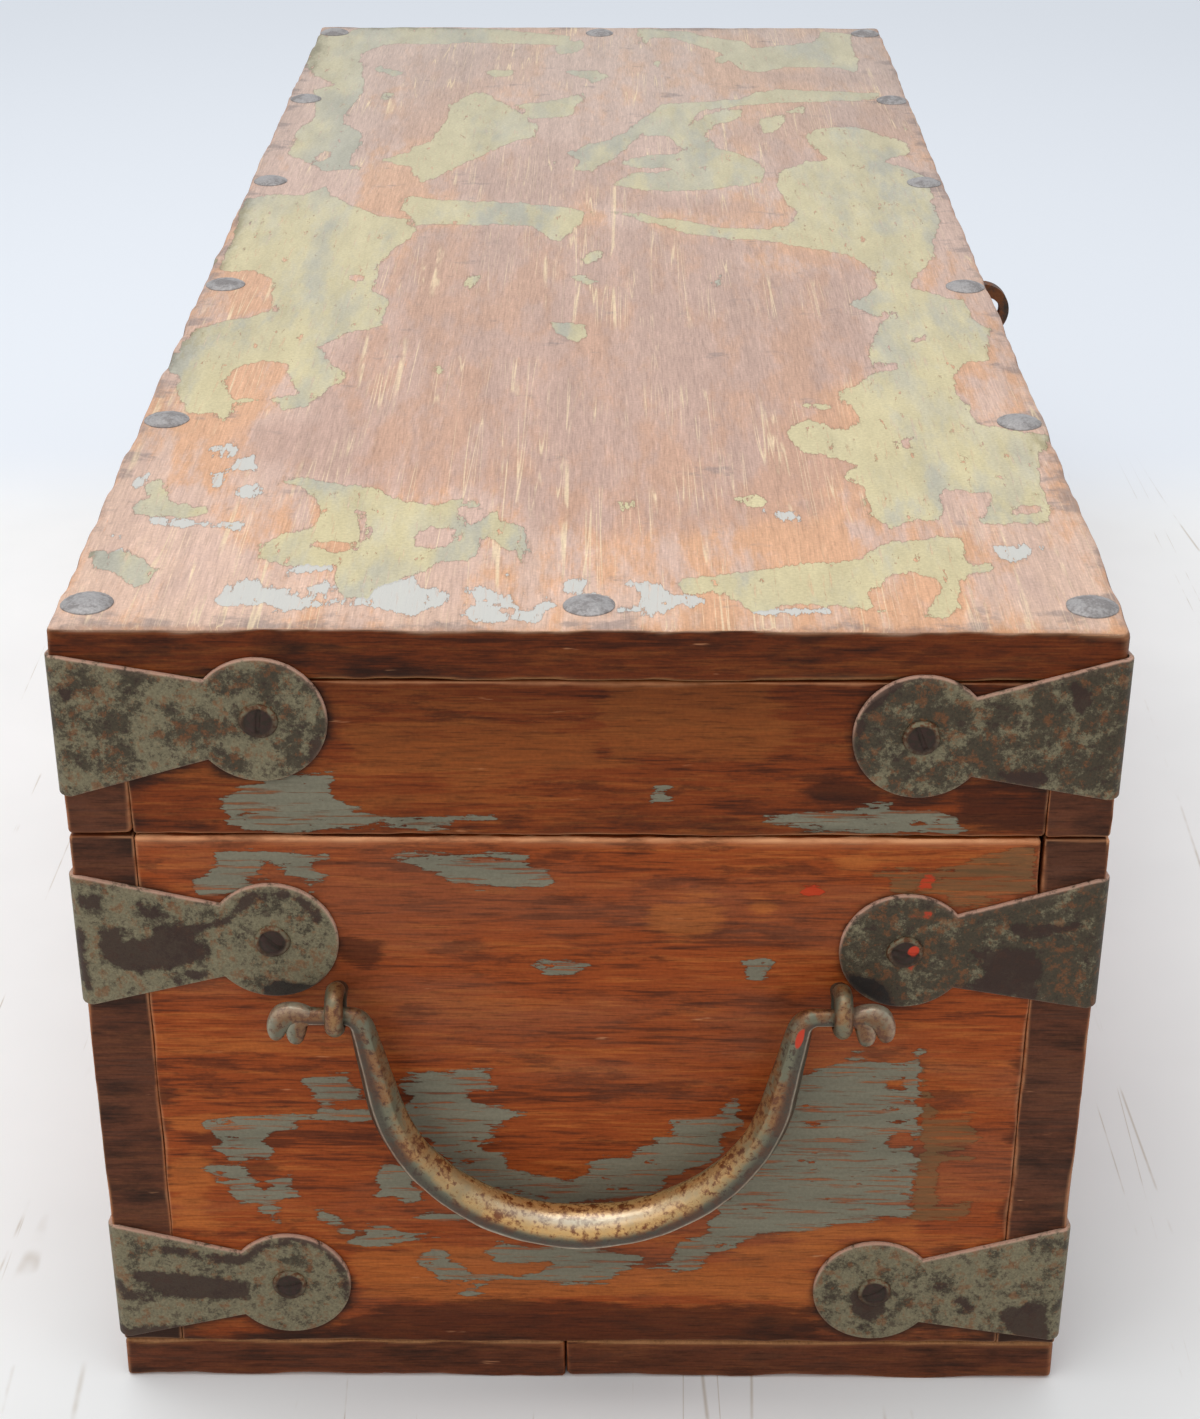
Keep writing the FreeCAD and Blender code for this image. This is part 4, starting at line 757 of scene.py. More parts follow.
def forged_iron(name, iron, paint):
    """Wrought iron, hammered to shape, painted, rusted and then polished by hands.

    The eye sees golden rust where hands rub, laid on the upper side partly as painted light,
    amber speckles, olive scraps of paint, painted shade on the underside, a painted highlight
    on the grip and a thin pale line along the edge, a painted reflection of the floor.
    """
    material, node, place, field = new_material(name, "gold", "shade", "pale", "red")
    speckle = node("TexNoise", place, 1 / (1.5 * MM), 6, 0.72)
    cloud = node("TexNoise", place, 1 / (6 * MM), 6, 0.66)
    gold = node("Level", node("ADD", cloud, speckle), 0.94, 1.20)
    golden = node("MULTIPLY_ADD", node("SUBTRACT", cloud, 0.5), 1.8, field["gold"],
                  use_clamp=True)
    broken = node("Level", speckle, 0.4, 0.65, 1.0, 0.6)
    # The shade field lays painted shade, the pale field painted highlights and reflections.
    colour = coats(
        node, iron.olive,
        (node("Level", cloud, 0.42, 0.56), iron.brown),
        (node("Level", speckle, 0.52, 0.62, 0.0, 0.8), iron.shade),
        (golden, node("Blend", gold, iron.gold, iron.amber)),
        (node("MULTIPLY", broken, field["shade"]), iron.shade),
        (node("MULTIPLY", broken, field["pale"]), iron.pale),
        (node("Level", field["red"], 0.4, 0.6), paint.red),
    )
    finish_material(node, colour, node("MapRange", golden, 0, 1, 0.38, 0.2), speckle, 0.12,
                    0.45)
    return material


def dull_iron(name, base, spots, spot_size, metallic, roughness):
    """Mild iron, rolled or drawn, gone brown and grey with age.

    The eye sees spots of rust of a real size on it, and light pits.
    """
    material, node, place, _ = new_material(name)
    spotted = node("TexNoise", place, 1 / (spot_size * MM), 6, 0.68)
    mask = node("Level", spotted, 0.44, 0.60)
    grit = node("TexNoise", place, 1 / (0.6 * MM), 3, 0.6)
    colour = node("Brighten", node("Blend", mask, base, spots),
                  named={"Scale": node("MapRange", grit, 0.3, 0.7, 0.8, 1.2)})
    rough = node("MapRange", mask, 0, 1, roughness, roughness + 0.2)
    finish_material(node, colour, rough, spotted, 0.15, metallic)
    return material


def screw_iron(name, iron, paint):
    """Soft iron screws, filed by hand and painted over.

    The eye sees a brown middle and a pale ring of old paint round the rim, lighter on its
    upper half as a painted highlight.
    """
    material, node, place, field = new_material(name, "paint_left_and_highlight", "red")
    grit = node("TexNoise", place, 1 / (1.2 * MM), 4, 0.65)
    mottled = node("Level", grit, 0.42, 0.58)
    # Old paint round the rim, stronger on the upper half as a painted highlight.
    left = node("MULTIPLY", field["paint_left_and_highlight"], node("Level", grit, 0.66, 0.45, 0.4, 1.0))
    colour = coats(
        node, iron.rust,
        (mottled, iron.dirt),
        (left, node("Blend", mottled, iron.paint, iron.rust_rim)),
        (node("Level", field["red"], -0.2, 0.3), paint.red),
    )
    finish_material(node, colour, 0.5, grit, 0.07, 0.2, 0.3)
    return material


# ---------------------------------------------------------------- boards

# Grid step along each wall's boards: fine where the camera is near.
WALL_STEPS = {"near": 1.6, "far": 3.5, "front": 3.5, "back": 3.5}
ISLAND_SIZES = (150, 62, 27, 13)
ISLAND_SHORES = {"olive": 1.05, "faint": 1.4, "dark": 1.2, "light": 1.2}


def edge_lines(low, high, radius, step):
    """Places of the grid lines across a board's side: close together in the rounded edges,
    even in between."""
    close = radius * np.array([0, 0.2, 0.45, 0.75, 1.1, 1.7])
    count = max(int(round((high - low - 3.4 * radius) / step)), 1)
    middle = np.linspace(low + 1.7 * radius, high - 1.7 * radius, count + 1)[1:-1]
    return np.concatenate([low + close, middle, (high - close)[::-1]])


def worn_board(low, high, radius, step, seed, look, warp=None):
    """Board with edges worn round, as six grids that share their borders.

    A point q of the plain box is drawn in to the box that is smaller by r all round, and put
    back out by r the way it came: p = c + r (q - c) / |q - c|.  The radius r wanders along the
    edges, so that each is worn more in some places.
    """
    sheets = Sheets()
    low, high = np.array(low, float), np.array(high, float)
    lines = [edge_lines(low[axis], high[axis], radius, step) for axis in range(3)]
    for axis in range(3):
        one, other = (way for way in range(3) if way != axis)
        first, second = np.meshgrid(lines[one], lines[other], indexing="ij")
        for level in (low[axis], high[axis]):
            box = np.empty(first.shape + (3,))
            box[..., one], box[..., other], box[..., axis] = first, second, level
            worn = radius * (1 + 0.55 * ripple(box, 30, seed) + 0.25 * ripple(box, 9, seed + 1))
            worn = np.clip(worn, 0.25 * radius, 2.2 * radius)[..., None]
            core = np.clip(box, low + worn, high - worn)
            way = normalised(box - core)
            points = core + worn * way
            rounding = unit((1 - np.abs(way).max(-1)) / 0.2)
            fields = look(points, way, rounding)
            sheets.add(warp(points) if warp else points, fields)
    return sheets


def plain_fields(points):
    """The fields that every board has: all bare, no stains."""
    shape = points.shape[:-1]
    fields = {name: np.full(shape, OUTSIDE)
              for name in ("dark", "light", "olive", "primer", "faint", "red")}
    fields.update({name: np.zeros(shape) for name in
                   ("bleached", "end_grain", "grime", "inside", "flat", "faded")})
    return fields


def wall_look(wall, seed):
    """Fields of an upright board on a wall of the chest or of its lid."""
    across, grain = (0, 1) if wall in ("front", "back") else (1, 0)
    sign = 1 if wall in ("front", "far") else -1

    def look(points, way, rounding):
        fields = plain_fields(points)
        x, y, z = np.moveaxis(points, -1, 0)
        out = sign * way[..., across]
        front = out > 0.2
        inward = (np.abs(x) < HALF_WIDTH - BOARD + 1) & (np.abs(y) < HALF_LENGTH - BOARD + 1)
        fields["inside"] = np.where(inward & (out < -0.15), 1.0, 0.0)
        fields["end_grain"] = unit((np.abs(way[..., grain]) - 0.7) / 0.3)
        corner = (HALF_WIDTH, HALF_LENGTH)[grain] - np.abs(points[..., grain])
        grime = np.minimum(0.34 * unit(1 - (z - FLOOR_TOP) / 24) + 0.30 * unit(1 - corner / 22),
                           0.6)
        if wall == "near":
            at = np.stack([x, z], axis=-1)
            for patches, kinds in ((END_PATCHES, ("olive", "faint", "red")),
                                   (END_TONES, ("dark", "light"))):
                for kind in kinds:
                    fields[kind] = np.where(front, patch_distance(at, patches, kind), OUTSIDE)
            # The lid rim is darker; painted shade deepens it towards its top, and a painted shadow
            # runs along its lower edge, over the joint with the body.
            rim = z > BODY_TOP
            fields["tone"] = 0.97 - 0.30 * unit((z - 180) / 26) - 0.29 * rim
            grime += rim * (0.12 + 0.2 * np.exp(-(z - RIM_BOTTOM) / 5))
            # A painted contact shadow on the wood along the straps' outlines.
            gap = -patch_distance(at, strap_shapes(), "strap")
            grime += 0.34 * np.exp(-np.maximum(gap, 0) / 1.6) * front
        else:
            # Uneven islands drawn out along the grain: ripples of several sizes, each weaker
            # than the last, above a shore line.
            for turn, (kind, shore) in enumerate(ISLAND_SHORES.items()):
                height = sum(
                    ripple(points * np.array([1, 1, 2.6]), size, seed + 40 * turn + step)
                    * 0.62 ** step for step, size in enumerate(ISLAND_SIZES))
                fields[kind] = np.where(front, 9 * (height - shore), OUTSIDE)
            fields["tone"] = np.full(z.shape, 0.86)
            # Darker just below the body's top edge, under the lid's joint.
            grime += 0.12 * np.exp(-np.clip(BODY_TOP - z, 0, 60) / 9) * (z < BODY_TOP)
        fields["grime"] = grime * (1 - 0.7 * fields["inside"])
        rubbed = 1.3 * bell(BODY_TOP - z, 1.1) * (z < BODY_TOP + 0.1) * (out > 0.15)
        fields["edge"] = unit(np.maximum(rubbed, rounding * 0.45))
        return fields
    return look


def lid_top_look(points, way, rounding):
    """Fields of the lid's top board: bleached and given painted sheen above, dark round its edges.
    """
    fields = plain_fields(points)
    x, y, _ = np.moveaxis(points, -1, 0)
    up = way[..., 2]
    above, below = up > 0.4, up < -0.5
    at = np.stack([x, y], axis=-1)
    scraps = 6 * (ripple(points * np.array([1, 0.7, 0]), 20, 77) - 2.1 + 0.0016 * (y + 300))
    flaky = 3 * (ripple(points * np.array([1, 1, 0]), 10, 78) - 0.5)
    flaky -= 0.3 * (np.maximum(np.abs(y + 280) - 6, 0) + np.maximum(np.abs(x + 36) - 40, 0))
    shore = np.minimum(HALF_WIDTH - np.abs(x), HALF_LENGTH - np.abs(y))
    for kind, depth in (
        ("olive", np.maximum(patch_distance(at, TOP_PATCHES, "olive"), scraps)),
        ("primer", np.maximum(patch_distance(at, TOP_PATCHES, "grey"), flaky)),
        ("dark", patch_distance(at, TOP_TONES, "dark", "light")),
        ("light", 6 - 0.16 * shore - 0.035 * (y + HALF_LENGTH)),
    ):
        fields[kind] = np.where(above, depth, OUTSIDE)
    away = (y + HALF_LENGTH) / (2 * HALF_LENGTH)
    # Painted light: the top grows darker towards the far end and towards the right; it is also
    # darker within a few millimetres of its edges.
    bright = 0.94 - 0.08 * away - 0.05 * unit(x / HALF_WIDTH) - 0.12 * np.exp(-shore / 3)
    # Upward faces take the bleached colours, paler still by painted sheen.
    fields["bleached"] = unit((up - 0.45) / 0.25)
    fields["grime"] = np.where(above, 0.55 * np.exp(-shore / 7), np.where(below, 0.06, 0.30))
    fields["faded"] = np.where(above, 0.65 * away ** 1.5, 0)
    fields["tone"] = np.where(above, bright, 0.54)
    fields["flat"] = np.where(np.abs(up) > 0.6, 1.0, 0.0)
    fields["inside"] = np.where(below, 1.0, 0.0)
    fields["edge"] = rounding * np.where(up > 0.2, 0.35, 0.2)
    return fields


def plank_look(points, way, rounding):
    """Fields of a bottom plank: stained and dull."""
    fields = plain_fields(points)
    above = way[..., 2] > 0.5
    fields["grime"] = np.where(above, 0.08, 0.26)
    fields["tone"] = np.full(above.shape, 0.72)
    fields["end_grain"] = unit((np.abs(way[..., 1]) - 0.7) / 0.3) * 0.8
    fields["inside"] = fields["flat"] = np.where(above, 1.0, 0.0)
    fields["edge"] = rounding * 0.25
    return fields


def shrunk_joint(points):
    """Draws the end board's upper corner in from the side board: the gap that shrinking wood
    opens, 0.8 mm wide and closed below the strap's edge."""
    x, _, z = np.moveaxis(points, -1, 0)
    gap = 0.8 * unit((z - 146) / 5) * unit((x - 85) / 12)
    return points - gap[..., None] * np.array([1.0, 0, 0])


def put_board(node, sheets, body, name=None):
    """A board over its CAD node, of the one teak material that all the boards share."""
    scene, teak = bpy.context.scene, "oiled_teak_painted_and_worn"
    material = bpy.data.materials.get(teak) or aged_teak(
        teak, scene.chest_wood, scene.chest_paint)
    put_piece(name or f"worn_{node}", sheets, material, body, (node,))


def wall_boards(nodes, bottom, top, body, first_seed, warp=None):
    """Four upright boards: side boards run the full length, end boards stand between them.
    The warp is the near board's."""
    radius = bpy.context.scene.chest_wood.edge / MM
    for seed, (wall, step) in enumerate(WALL_STEPS.items(), start=first_seed):
        sign, half = 1 if wall in ("front", "far") else -1, half_size(wall)
        inner, outer = sorted((sign * half, sign * (half - BOARD)))
        if wall in ("near", "far"):
            low, high = (BOARD - HALF_WIDTH, inner, bottom), (HALF_WIDTH - BOARD, outer, top)
        else:
            low, high = (inner, -HALF_LENGTH, bottom), (outer, HALF_LENGTH, top)
        sheets = worn_board(low, high, radius, step, seed, wall_look(wall, seed),
                            warp if wall == "near" else None)
        put_board(f"{nodes[wall in ('front', 'back')]}_{wall}", sheets, body)


class CHEST_OT_body_boards(bpy.types.Operator):
    """Make the four body boards and the two bottom planks"""
    bl_idname = "chest.body_boards"
    bl_label = "Body boards"

    def execute(self, context):
        radius = context.scene.chest_wood.edge / MM * 1.6
        wall_boards(("end_board", "side_board"), FLOOR_TOP, BODY_TOP, "chest", 11, shrunk_joint)
        for seed, (name, low, high) in enumerate((
            ("front", PLANK_JOINT + 0.2, HALF_WIDTH), ("back", -HALF_WIDTH, PLANK_JOINT - 0.2),
        ), start=21):
            put_board(f"bottom_plank_{name}", worn_board(
                (low, -HALF_LENGTH, 0), (high, HALF_LENGTH, FLOOR_TOP), radius, 5.0, seed,
                plank_look), "chest")
        return {"FINISHED"}


class CHEST_OT_lid_boards(bpy.types.Operator):
    """Make the lid's four rim boards and its top board"""
    bl_idname = "chest.lid_boards"
    bl_label = "Lid boards"

    def execute(self, context):
        wall_boards(("lid_rim", "lid_rim"), RIM_BOTTOM, RIM_TOP, "lid", 31)
        put_board("lid_top_board", worn_board(
            (-HALF_WIDTH, -HALF_LENGTH, RIM_TOP), (HALF_WIDTH, HALF_LENGTH, LID_TOP),
            context.scene.chest_wood.top_edge / MM, 2.4, 41, lid_top_look), "lid",
            "worn_lid_top")
        return {"FINISHED"}


# ---------------------------------------------------------------- corner straps

STRAP_LEVELS = {"lid_strap": 191.5, "upper_strap": 134.5, "lower_strap": 31.8}
# For each strap end on the near wall: how far it sits up, how far on past the usual reach, and
# how dirty it is, from clean paint to all brown.
HAND_FIT = {
    "lid_strap_near_back": (2.0, 0.3, 0.5), "lid_strap_near_front": (-1.8, -0.3, 0.9),
    "upper_strap_near_back": (0.4, 0.1, 0.1), "upper_strap_near_front": (-2.0, 0.1, 1.1),
    "lower_strap_near_back": (-0.3, -1.6, 0.1), "lower_strap_near_front": (-2.0, 2.0, 0.15),
}
USUAL_FIT = (0, 0, 0.5)
CORNER_WALLS = {
    "near_front": ("near", "front"), "far_front": ("front", "far"),
    "far_back": ("far", "back"), "near_back": ("back", "near"),
}
BEND, REACH, DISC, CORNER_HALF, NECK_HALF = 2.0, 45.5, 15.5, 17.75, 10.0
DISC_FROM_NECK = math.sqrt(DISC ** 2 - NECK_HALF ** 2)
SHEET_EDGE = 0.5


def hand_fit(node, wall):
    """How far a strap's end sits up and on."""
    return (HAND_FIT.get(node, USUAL_FIT) if wall == "near" else USUAL_FIT)[:2]


def strap_outline(up, on):
    """Distances from the corner along one arm, with the arm's middle and half width there.

    The arm narrows evenly to its neck; after it the outline is the circle
    (d, w) = (reach - R cos a, R sin a).
    """
    reach = REACH + on
    neck = reach - DISC_FROM_NECK
    straight = np.linspace(BEND, neck, 22)[:-1]
    turn = np.linspace(math.atan2(NECK_HALF, DISC_FROM_NECK), math.pi, 34)
    along = np.concatenate([straight, reach - DISC * np.cos(turn)])
    share = unit((along - BEND) / (neck - BEND))
    half = CORNER_HALF + (NECK_HALF - CORNER_HALF) * share
    half[len(straight):] = np.maximum(DISC * np.sin(turn), 0)
    return along, up * share, half, reach


def strap_shapes():
    """Outlines of the near wall's six arms, across and up, for the painted shade on the wood round
    them.
    """
    shapes = []
    for name, (up, on, _) in HAND_FIT.items():
        row, _, side = name.partition("_near_")
        along, middle, half, _ = strap_outline(up, on)
        across = (HALF_WIDTH - along) * (1 if side == "front" else -1)
        level = STRAP_LEVELS[row] + middle
        shapes.append(("strap", np.concatenate([
            spread(across, level - half), spread(across, level + half)[::-1]])))
    return shapes


def lines_across(half):
    """Offsets of the grid lines across a strap of each half width: close together towards its
    edges."""
    half = half[..., None]
    near_edge = half - np.array([0, 0.08, 0.2, 0.36, 0.55]) * np.minimum(1, half / 1.2)
    inner = np.linspace(-1, 1, 19)[1:-1] * near_edge[..., -1:]
    return np.concatenate([-near_edge, inner, near_edge[..., ::-1]], axis=-1)


def edge_height(rim, sheet):
    """Height of the strap's face at a distance from its outline: rounded over at the edge."""
    inward = np.clip(SHEET_EDGE - rim, 0, SHEET_EDGE)
    return sheet - (SHEET_EDGE - np.sqrt(np.maximum(SHEET_EDGE ** 2 - inward ** 2, 0)))


def strap_fields(node, across, level, rim, offset, near, seed):
    """Paint, rust and wear of a strap, with a painted highlight on its upper edges.  Only the near
    wall's has traced outlines.
    """
    if near:
        fields = {kind: patch_distance(spread(across, level), STRAP_PATCHES, kind)
                  for kind in ("rust", "scrape", "red")}
    else:
        bare = np.full(across.shape, OUTSIDE)
        fields = {"rust": 9 * (ripple(spread(across, 0, level), 26, seed) - 0.35),
                  "scrape": bare, "red": bare}
    # Rubbed edge, stronger on the upper edges as a painted highlight.
    fields["edge"] = bell(rim, 0.32) * (0.22 + 0.68 * unit(offset / 5 + 0.2))
    fields["dirty"] = np.full(across.shape, HAND_FIT.get(node, USUAL_FIT)[2])
    return fields


def add_sheet(sheets, place, face, fields, back=None):
    """A closed sheet, given the points at a height out of the wall: its face, its back on the
    wall and its two long edges."""
    sheets.add(place(face), fields)
    sheets.add(place(0 * face), back)
    for column in (0, -1):
        rows = [place(face * share)[:, column] for share in np.linspace(1, 0, 4)]
        sheets.add(np.stack(rows, axis=1), {
            name: np.repeat(values[:, column][:, None], 4, axis=1)
            for name, values in fields.items()})


def corner_strap(node, corner, level):
    """One strap as a closed sheet: two arms and the bend between them.

    Along each arm the face stands the sheet's thickness off the wall, rounded over at the
    outline, drawn in round the screw and slightly uneven from the hammer.
    """
    iron = bpy.context.scene.chest_iron
    sheet, dimple = iron.sheet / MM, iron.dimple / MM
    seed = sum(map(ord, node)) % 97
    sheets = Sheets()
    half_across, half_along = HALF_WIDTH, HALF_LENGTH
    if CORNER_WALLS[corner][0] not in ("near", "far"):
        half_across, half_along = half_along, half_across
    for wall, left in zip(CORNER_WALLS[corner], (True, False)):
        up, on = hand_fit(node, wall)
        along, middle, half, reach = strap_outline(up, on)
        offset = lines_across(half)
        distance, rise = along[:, None] + 0 * offset, middle[:, None] + offset
        from_disc = np.hypot(distance - reach, rise - up)
        rim = np.clip(np.where(distance > reach - DISC_FROM_NECK, DISC - from_disc,
                               (half[:, None] - np.abs(offset)) * 0.97), 0, 20)

        def place(height):
            """Local corner frame: the left arm runs along -X, the right one along +Y."""
            local = (half_across - distance, -half_along - height) if left else (
                half_across + height, distance - half_along)
            return turned(spread(*local, level + rise), CORNER_TURN[corner])

        flat = place(0 * rise)
        bump = 0.10 * ripple(flat, 11, seed) * unit((distance - 6) / 10)
        drawn_in = dimple * bell(from_disc, 6.5) - 0.28 * bell(from_disc - 6.1, 0.8)
        face = edge_height(rim, sheet) + bump * unit(rim / 1.5) - drawn_in
        fields = strap_fields(node, flat[..., 0 if wall in ("near", "far") else 1],
                              level + rise, rim, offset, wall == "near", seed)
        add_sheet(sheets, place, face, fields,
                  {name: values * 0 + values.min() for name, values in fields.items()})

    # The bend: the strap's section carried round a quarter circle.
    turn = np.radians(np.linspace(-90, 0, 9))[:, None]
    offset = lines_across(np.array(CORNER_HALF))[None, :] + 0 * turn
    rim = CORNER_HALF - np.abs(offset)

    def bent(height):
        radius = BEND + height
        return turned(spread(
            half_across - BEND + radius * np.cos(turn),
            BEND - half_along + radius * np.sin(turn), level + offset), CORNER_TURN[corner])

    face = edge_height(rim * 0.97, sheet)
    add_sheet(sheets, bent, face, strap_fields(
        node, bent(face)[..., 0], level + offset, rim, offset, "near" in corner, seed))
    return sheets


class CHEST_OT_corner_straps(bpy.types.Operator):
    """Make the twelve sheet-iron corner straps"""
    bl_idname = "chest.corner_straps"
    bl_label = "Corner straps"

    def execute(self, context):
        scene = context.scene
        material = painted_iron("brushed_and_rusted_sheet_iron", scene.chest_iron,
                                scene.chest_paint)
        for row, level in STRAP_LEVELS.items():
            body = "lid" if row == "lid_strap" else "chest"
            for corner in CORNER_WALLS:
                node = f"{row}_{corner}"
                put_piece(f"bent_{node}", corner_strap(node, corner, level), material, body,
                          (node,))
        return {"FINISHED"}


# ---------------------------------------------------------------- screws and nails

# Profiles from the middle of a head out to its rim and back underneath.
SCREW_RADII = (0, 0.25, 0.5, 0.8, 1.2, 1.6, 2.0, 2.4, 2.7, 3.0, 3.3, 3.6, 3.9, 4.15, 4.3, 4.3,
               2.0, 0)
SCREW_HEIGHTS = (1.35, 1.35, 1.34, 1.33, 1.29, 1.22, 1.12, 0.98, 0.86, 0.78, 0.83, 0.93, 0.88,
                 0.66, 0.3, -0.4, -0.4, -0.4)
SCREW_SINK = 0.85  # how deep the strap's dimple lets a screw in
DOME_SHARES = np.array([0, 0.06, 0.13, 0.22, 0.33, 0.45, 0.57, 0.68, 0.78, 0.86, 0.92, 0.97, 1])
DOME_RADIUS, DOME_RISE = 6.0, 1.75
DOME_ACROSS, DOME_REACH = 113.0, 285.5
FLUSH_RADII = (0, 0.6, 1.2, 1.8, 2.2, 2.45, 2.6, 2.6, 1.2, 0)
FLUSH_HEIGHTS = (0.22, 0.21, 0.2, 0.17, 0.13, 0.08, 0.0, -0.5, -0.5, -0.5)


def round_head(radii, heights, around, seed, uneven, slot=None, marks=0.0):
    """A head as a function of radius and angle, in its own frame (out of the wall is +Z).

    The height follows the given profile; the rim wanders by the uneven share, the hammer's
    marks raise ridges on the face, and a slot (turn, half width, depth, reach) is sunk across
    the middle with a smooth edge.
    """
    angle = circle(around)
    radii, heights = np.array(radii)[:, None], np.array(heights)[:, None]
    share = radii / radii.max()
    wander = ripple(spread(np.cos(angle), np.sin(angle), 0) * 3, 4, seed)
    radius = radii * (1 + uneven * wander * share)
    x, y = radius * np.cos(angle), radius * np.sin(angle)
    ridges = np.sin(23 * angle + 3 * wander) + 0.6 * np.sin(37 * angle + seed)
    height = heights + marks * ridges * share * (heights > 0.1)
    if slot:
        turn, half, deep, reach = slot
        across = y * math.cos(turn) - x * math.sin(turn)
        inside = unit((half + 0.12 - np.abs(across)) / 0.24) * (radii < reach)
        height = height - deep * inside * inside * (3 - 2 * inside)
    return spread(x, y, height)


def facing(points):
    """A head drawn facing +Z, turned to face out of a wall."""
    return points[..., [0, 2, 1]] * np.array([1, -1, 1])


def strap_screws(rows, seed):
    """All screws of some rows of straps, each with its slot at another angle."""
    drawn = np.random.default_rng(seed)
    sheets = Sheets()
    for row in rows:
        for corner, walls in CORNER_WALLS.items():
            for wall, side in zip(walls, (1, -1)):
                up, on = hand_fit(f"{row}_{corner}", wall)
                across = HALF_WIDTH if wall in ("near", "far") else HALF_LENGTH
                turn = drawn.uniform(0, math.pi)
                head = facing(round_head(SCREW_RADII, SCREW_HEIGHTS, 48, drawn.integers(999),
                                         0.04, (turn, 0.5, 0.5, 3.1)))
                head = on_wall(head + np.array([
                    (across - REACH - on) * side, -SCREW_SINK, STRAP_LEVELS[row] + up]), wall)
                red = (row, corner, wall) == ("upper_strap", "near_front", "near")
                sheets.add(head, screw_fields(head, red), round_columns=True)
    return sheets


def screw_fields(head, red):
    """Every screw has paint left round its rim, stronger on its upper side as a painted
    highlight; one has a spot of red paint on it.
    """
    radius = np.array(SCREW_RADII)[:, None]
    up = np.sin(circle(head.shape[1]))
    # Paint left round the rim, with a painted highlight on its upper half.
    left = unit((radius - 3.0) / 0.5) * (0.55 + 0.35 * up + 0.2 * ripple(head, 5, 7))
    spot = 1.8 - np.hypot(head[..., 0] - 76.9, head[..., 2] - 132.9) + 0.7 * ripple(head, 4, 5)
    return {"paint_left_and_highlight": unit(left), "red": np.where(red, spot, OUTSIDE)}


class CHEST_OT_strap_screws(bpy.types.Operator):
    """Make the screws of the corner straps"""
    bl_idname = "chest.strap_screws"
    bl_label = "Strap screws"

    def execute(self, context):
        scene = context.scene
        material = screw_iron("hand_filed_screw_iron_under_old_paint", scene.chest_iron,
                              scene.chest_paint)
        for body, rows, seed in (("chest", ("upper_strap", "lower_strap"), 51),
                                 ("lid", ("lid_strap",), 52)):
            put_piece(f"filed_{body}_strap_screws", strap_screws(rows, seed), material, body,
                      (f"{body}_strap_screws",))
        return {"FINISHED"}


def dome_nails():
    """The lid's nails: a spherical cap with a rim hammered a little out of true."""
    drawn = np.random.default_rng(61)
    places = [(side * DOME_ACROSS, DOME_REACH * share)
              for side in (-1, 1) for share in (-1, -0.6, -0.2, 0.2, 0.6, 1)]
    places += [(0, -DOME_REACH), (0, DOME_REACH)]
    radii = np.append(DOME_SHARES * (DOME_RADIUS - 0.15), [DOME_RADIUS - 0.2, 3.0, 0])
    heights = np.append(DOME_RISE * (1 - DOME_SHARES ** 2.3) * 0.86 + 0.24, [-0.3, -0.3, -0.3])
    sheets = Sheets()
    for across, length in places:
        head = round_head(radii, heights, 80, drawn.integers(999), 0.03, None, 0.05)
        head = turned(head, drawn.uniform(0, 360)) + np.array([across, length, LID_TOP])
        sheets.add(head, round_columns=True)
    return sheets


def flush_nails(places):
    """Nails driven flush: a head stands up by a hair.  Each place is a wall and its point, or
    None and a point of the underside."""
    drawn = np.random.default_rng(71)
    sheets = Sheets()
    for wall, point in places:
        head = round_head(FLUSH_RADII, FLUSH_HEIGHTS, 28, drawn.integers(999), 0.05)
        sheets.add(on_wall(facing(head) + np.array(point), wall) if wall else
                   head * np.array([1, -1, -1]) + np.array(point), round_columns=True)
    return sheets


class CHEST_OT_nails(bpy.types.Operator):
    """Make the domed nails of the lid and the flush nails of all the joints"""
    bl_idname = "chest.nails"
    bl_label = "Nails"

    def execute(self, context):
        iron = context.scene.chest_iron
        domed = dull_iron("hammered_nail_heads_with_grey_bloom", iron.nail, iron.nail_dark,
                          5.0, 0.15, 0.45)
        put_piece("hammered_lid_nails", dome_nails(), domed, "lid", ("lid_dome_nails",))
        flush = dull_iron("cut_nails_gone_brown", iron.shade, iron.rust, 2.0, 0.2, 0.6)
        end = HALF_LENGTH - BOARD / 2
        ends = [(wall, sign * end) for wall in ("front", "back") for sign in (-1, 1)]
        body, lid = ([(wall, (along, 0, low + (high - low) * share))
                      for wall, along in ends for share in shares]
                     for low, high, shares in ((FLOOR_TOP, BODY_TOP, (0.13, 0.40, 0.60, 0.80)),
                                               (RIM_BOTTOM, RIM_TOP, (0.45, 0.85))))
        under = [(None, (sign * (HALF_WIDTH - BOARD / 2), HALF_LENGTH * share, 0.22))
                 for sign in (-1, 1) for share in (-0.74, -0.37, 0, 0.37, 0.74)]
        under += [(None, (sign * HALF_WIDTH * share, far * end, 0.22))
                  for sign in (-1, 1) for far in (-1, 1) for share in (0.21, 0.50)]
        for node, places in (("corner_nails", body), ("lid_corner_nails", lid),
                             ("bottom_nails", under)):
            put_piece(f"driven_{node}", flush_nails(places), flush,
                      "lid" if places is lid else "chest", (node,))
        return {"FINISHED"}


# ---------------------------------------------------------------- handles and eyes

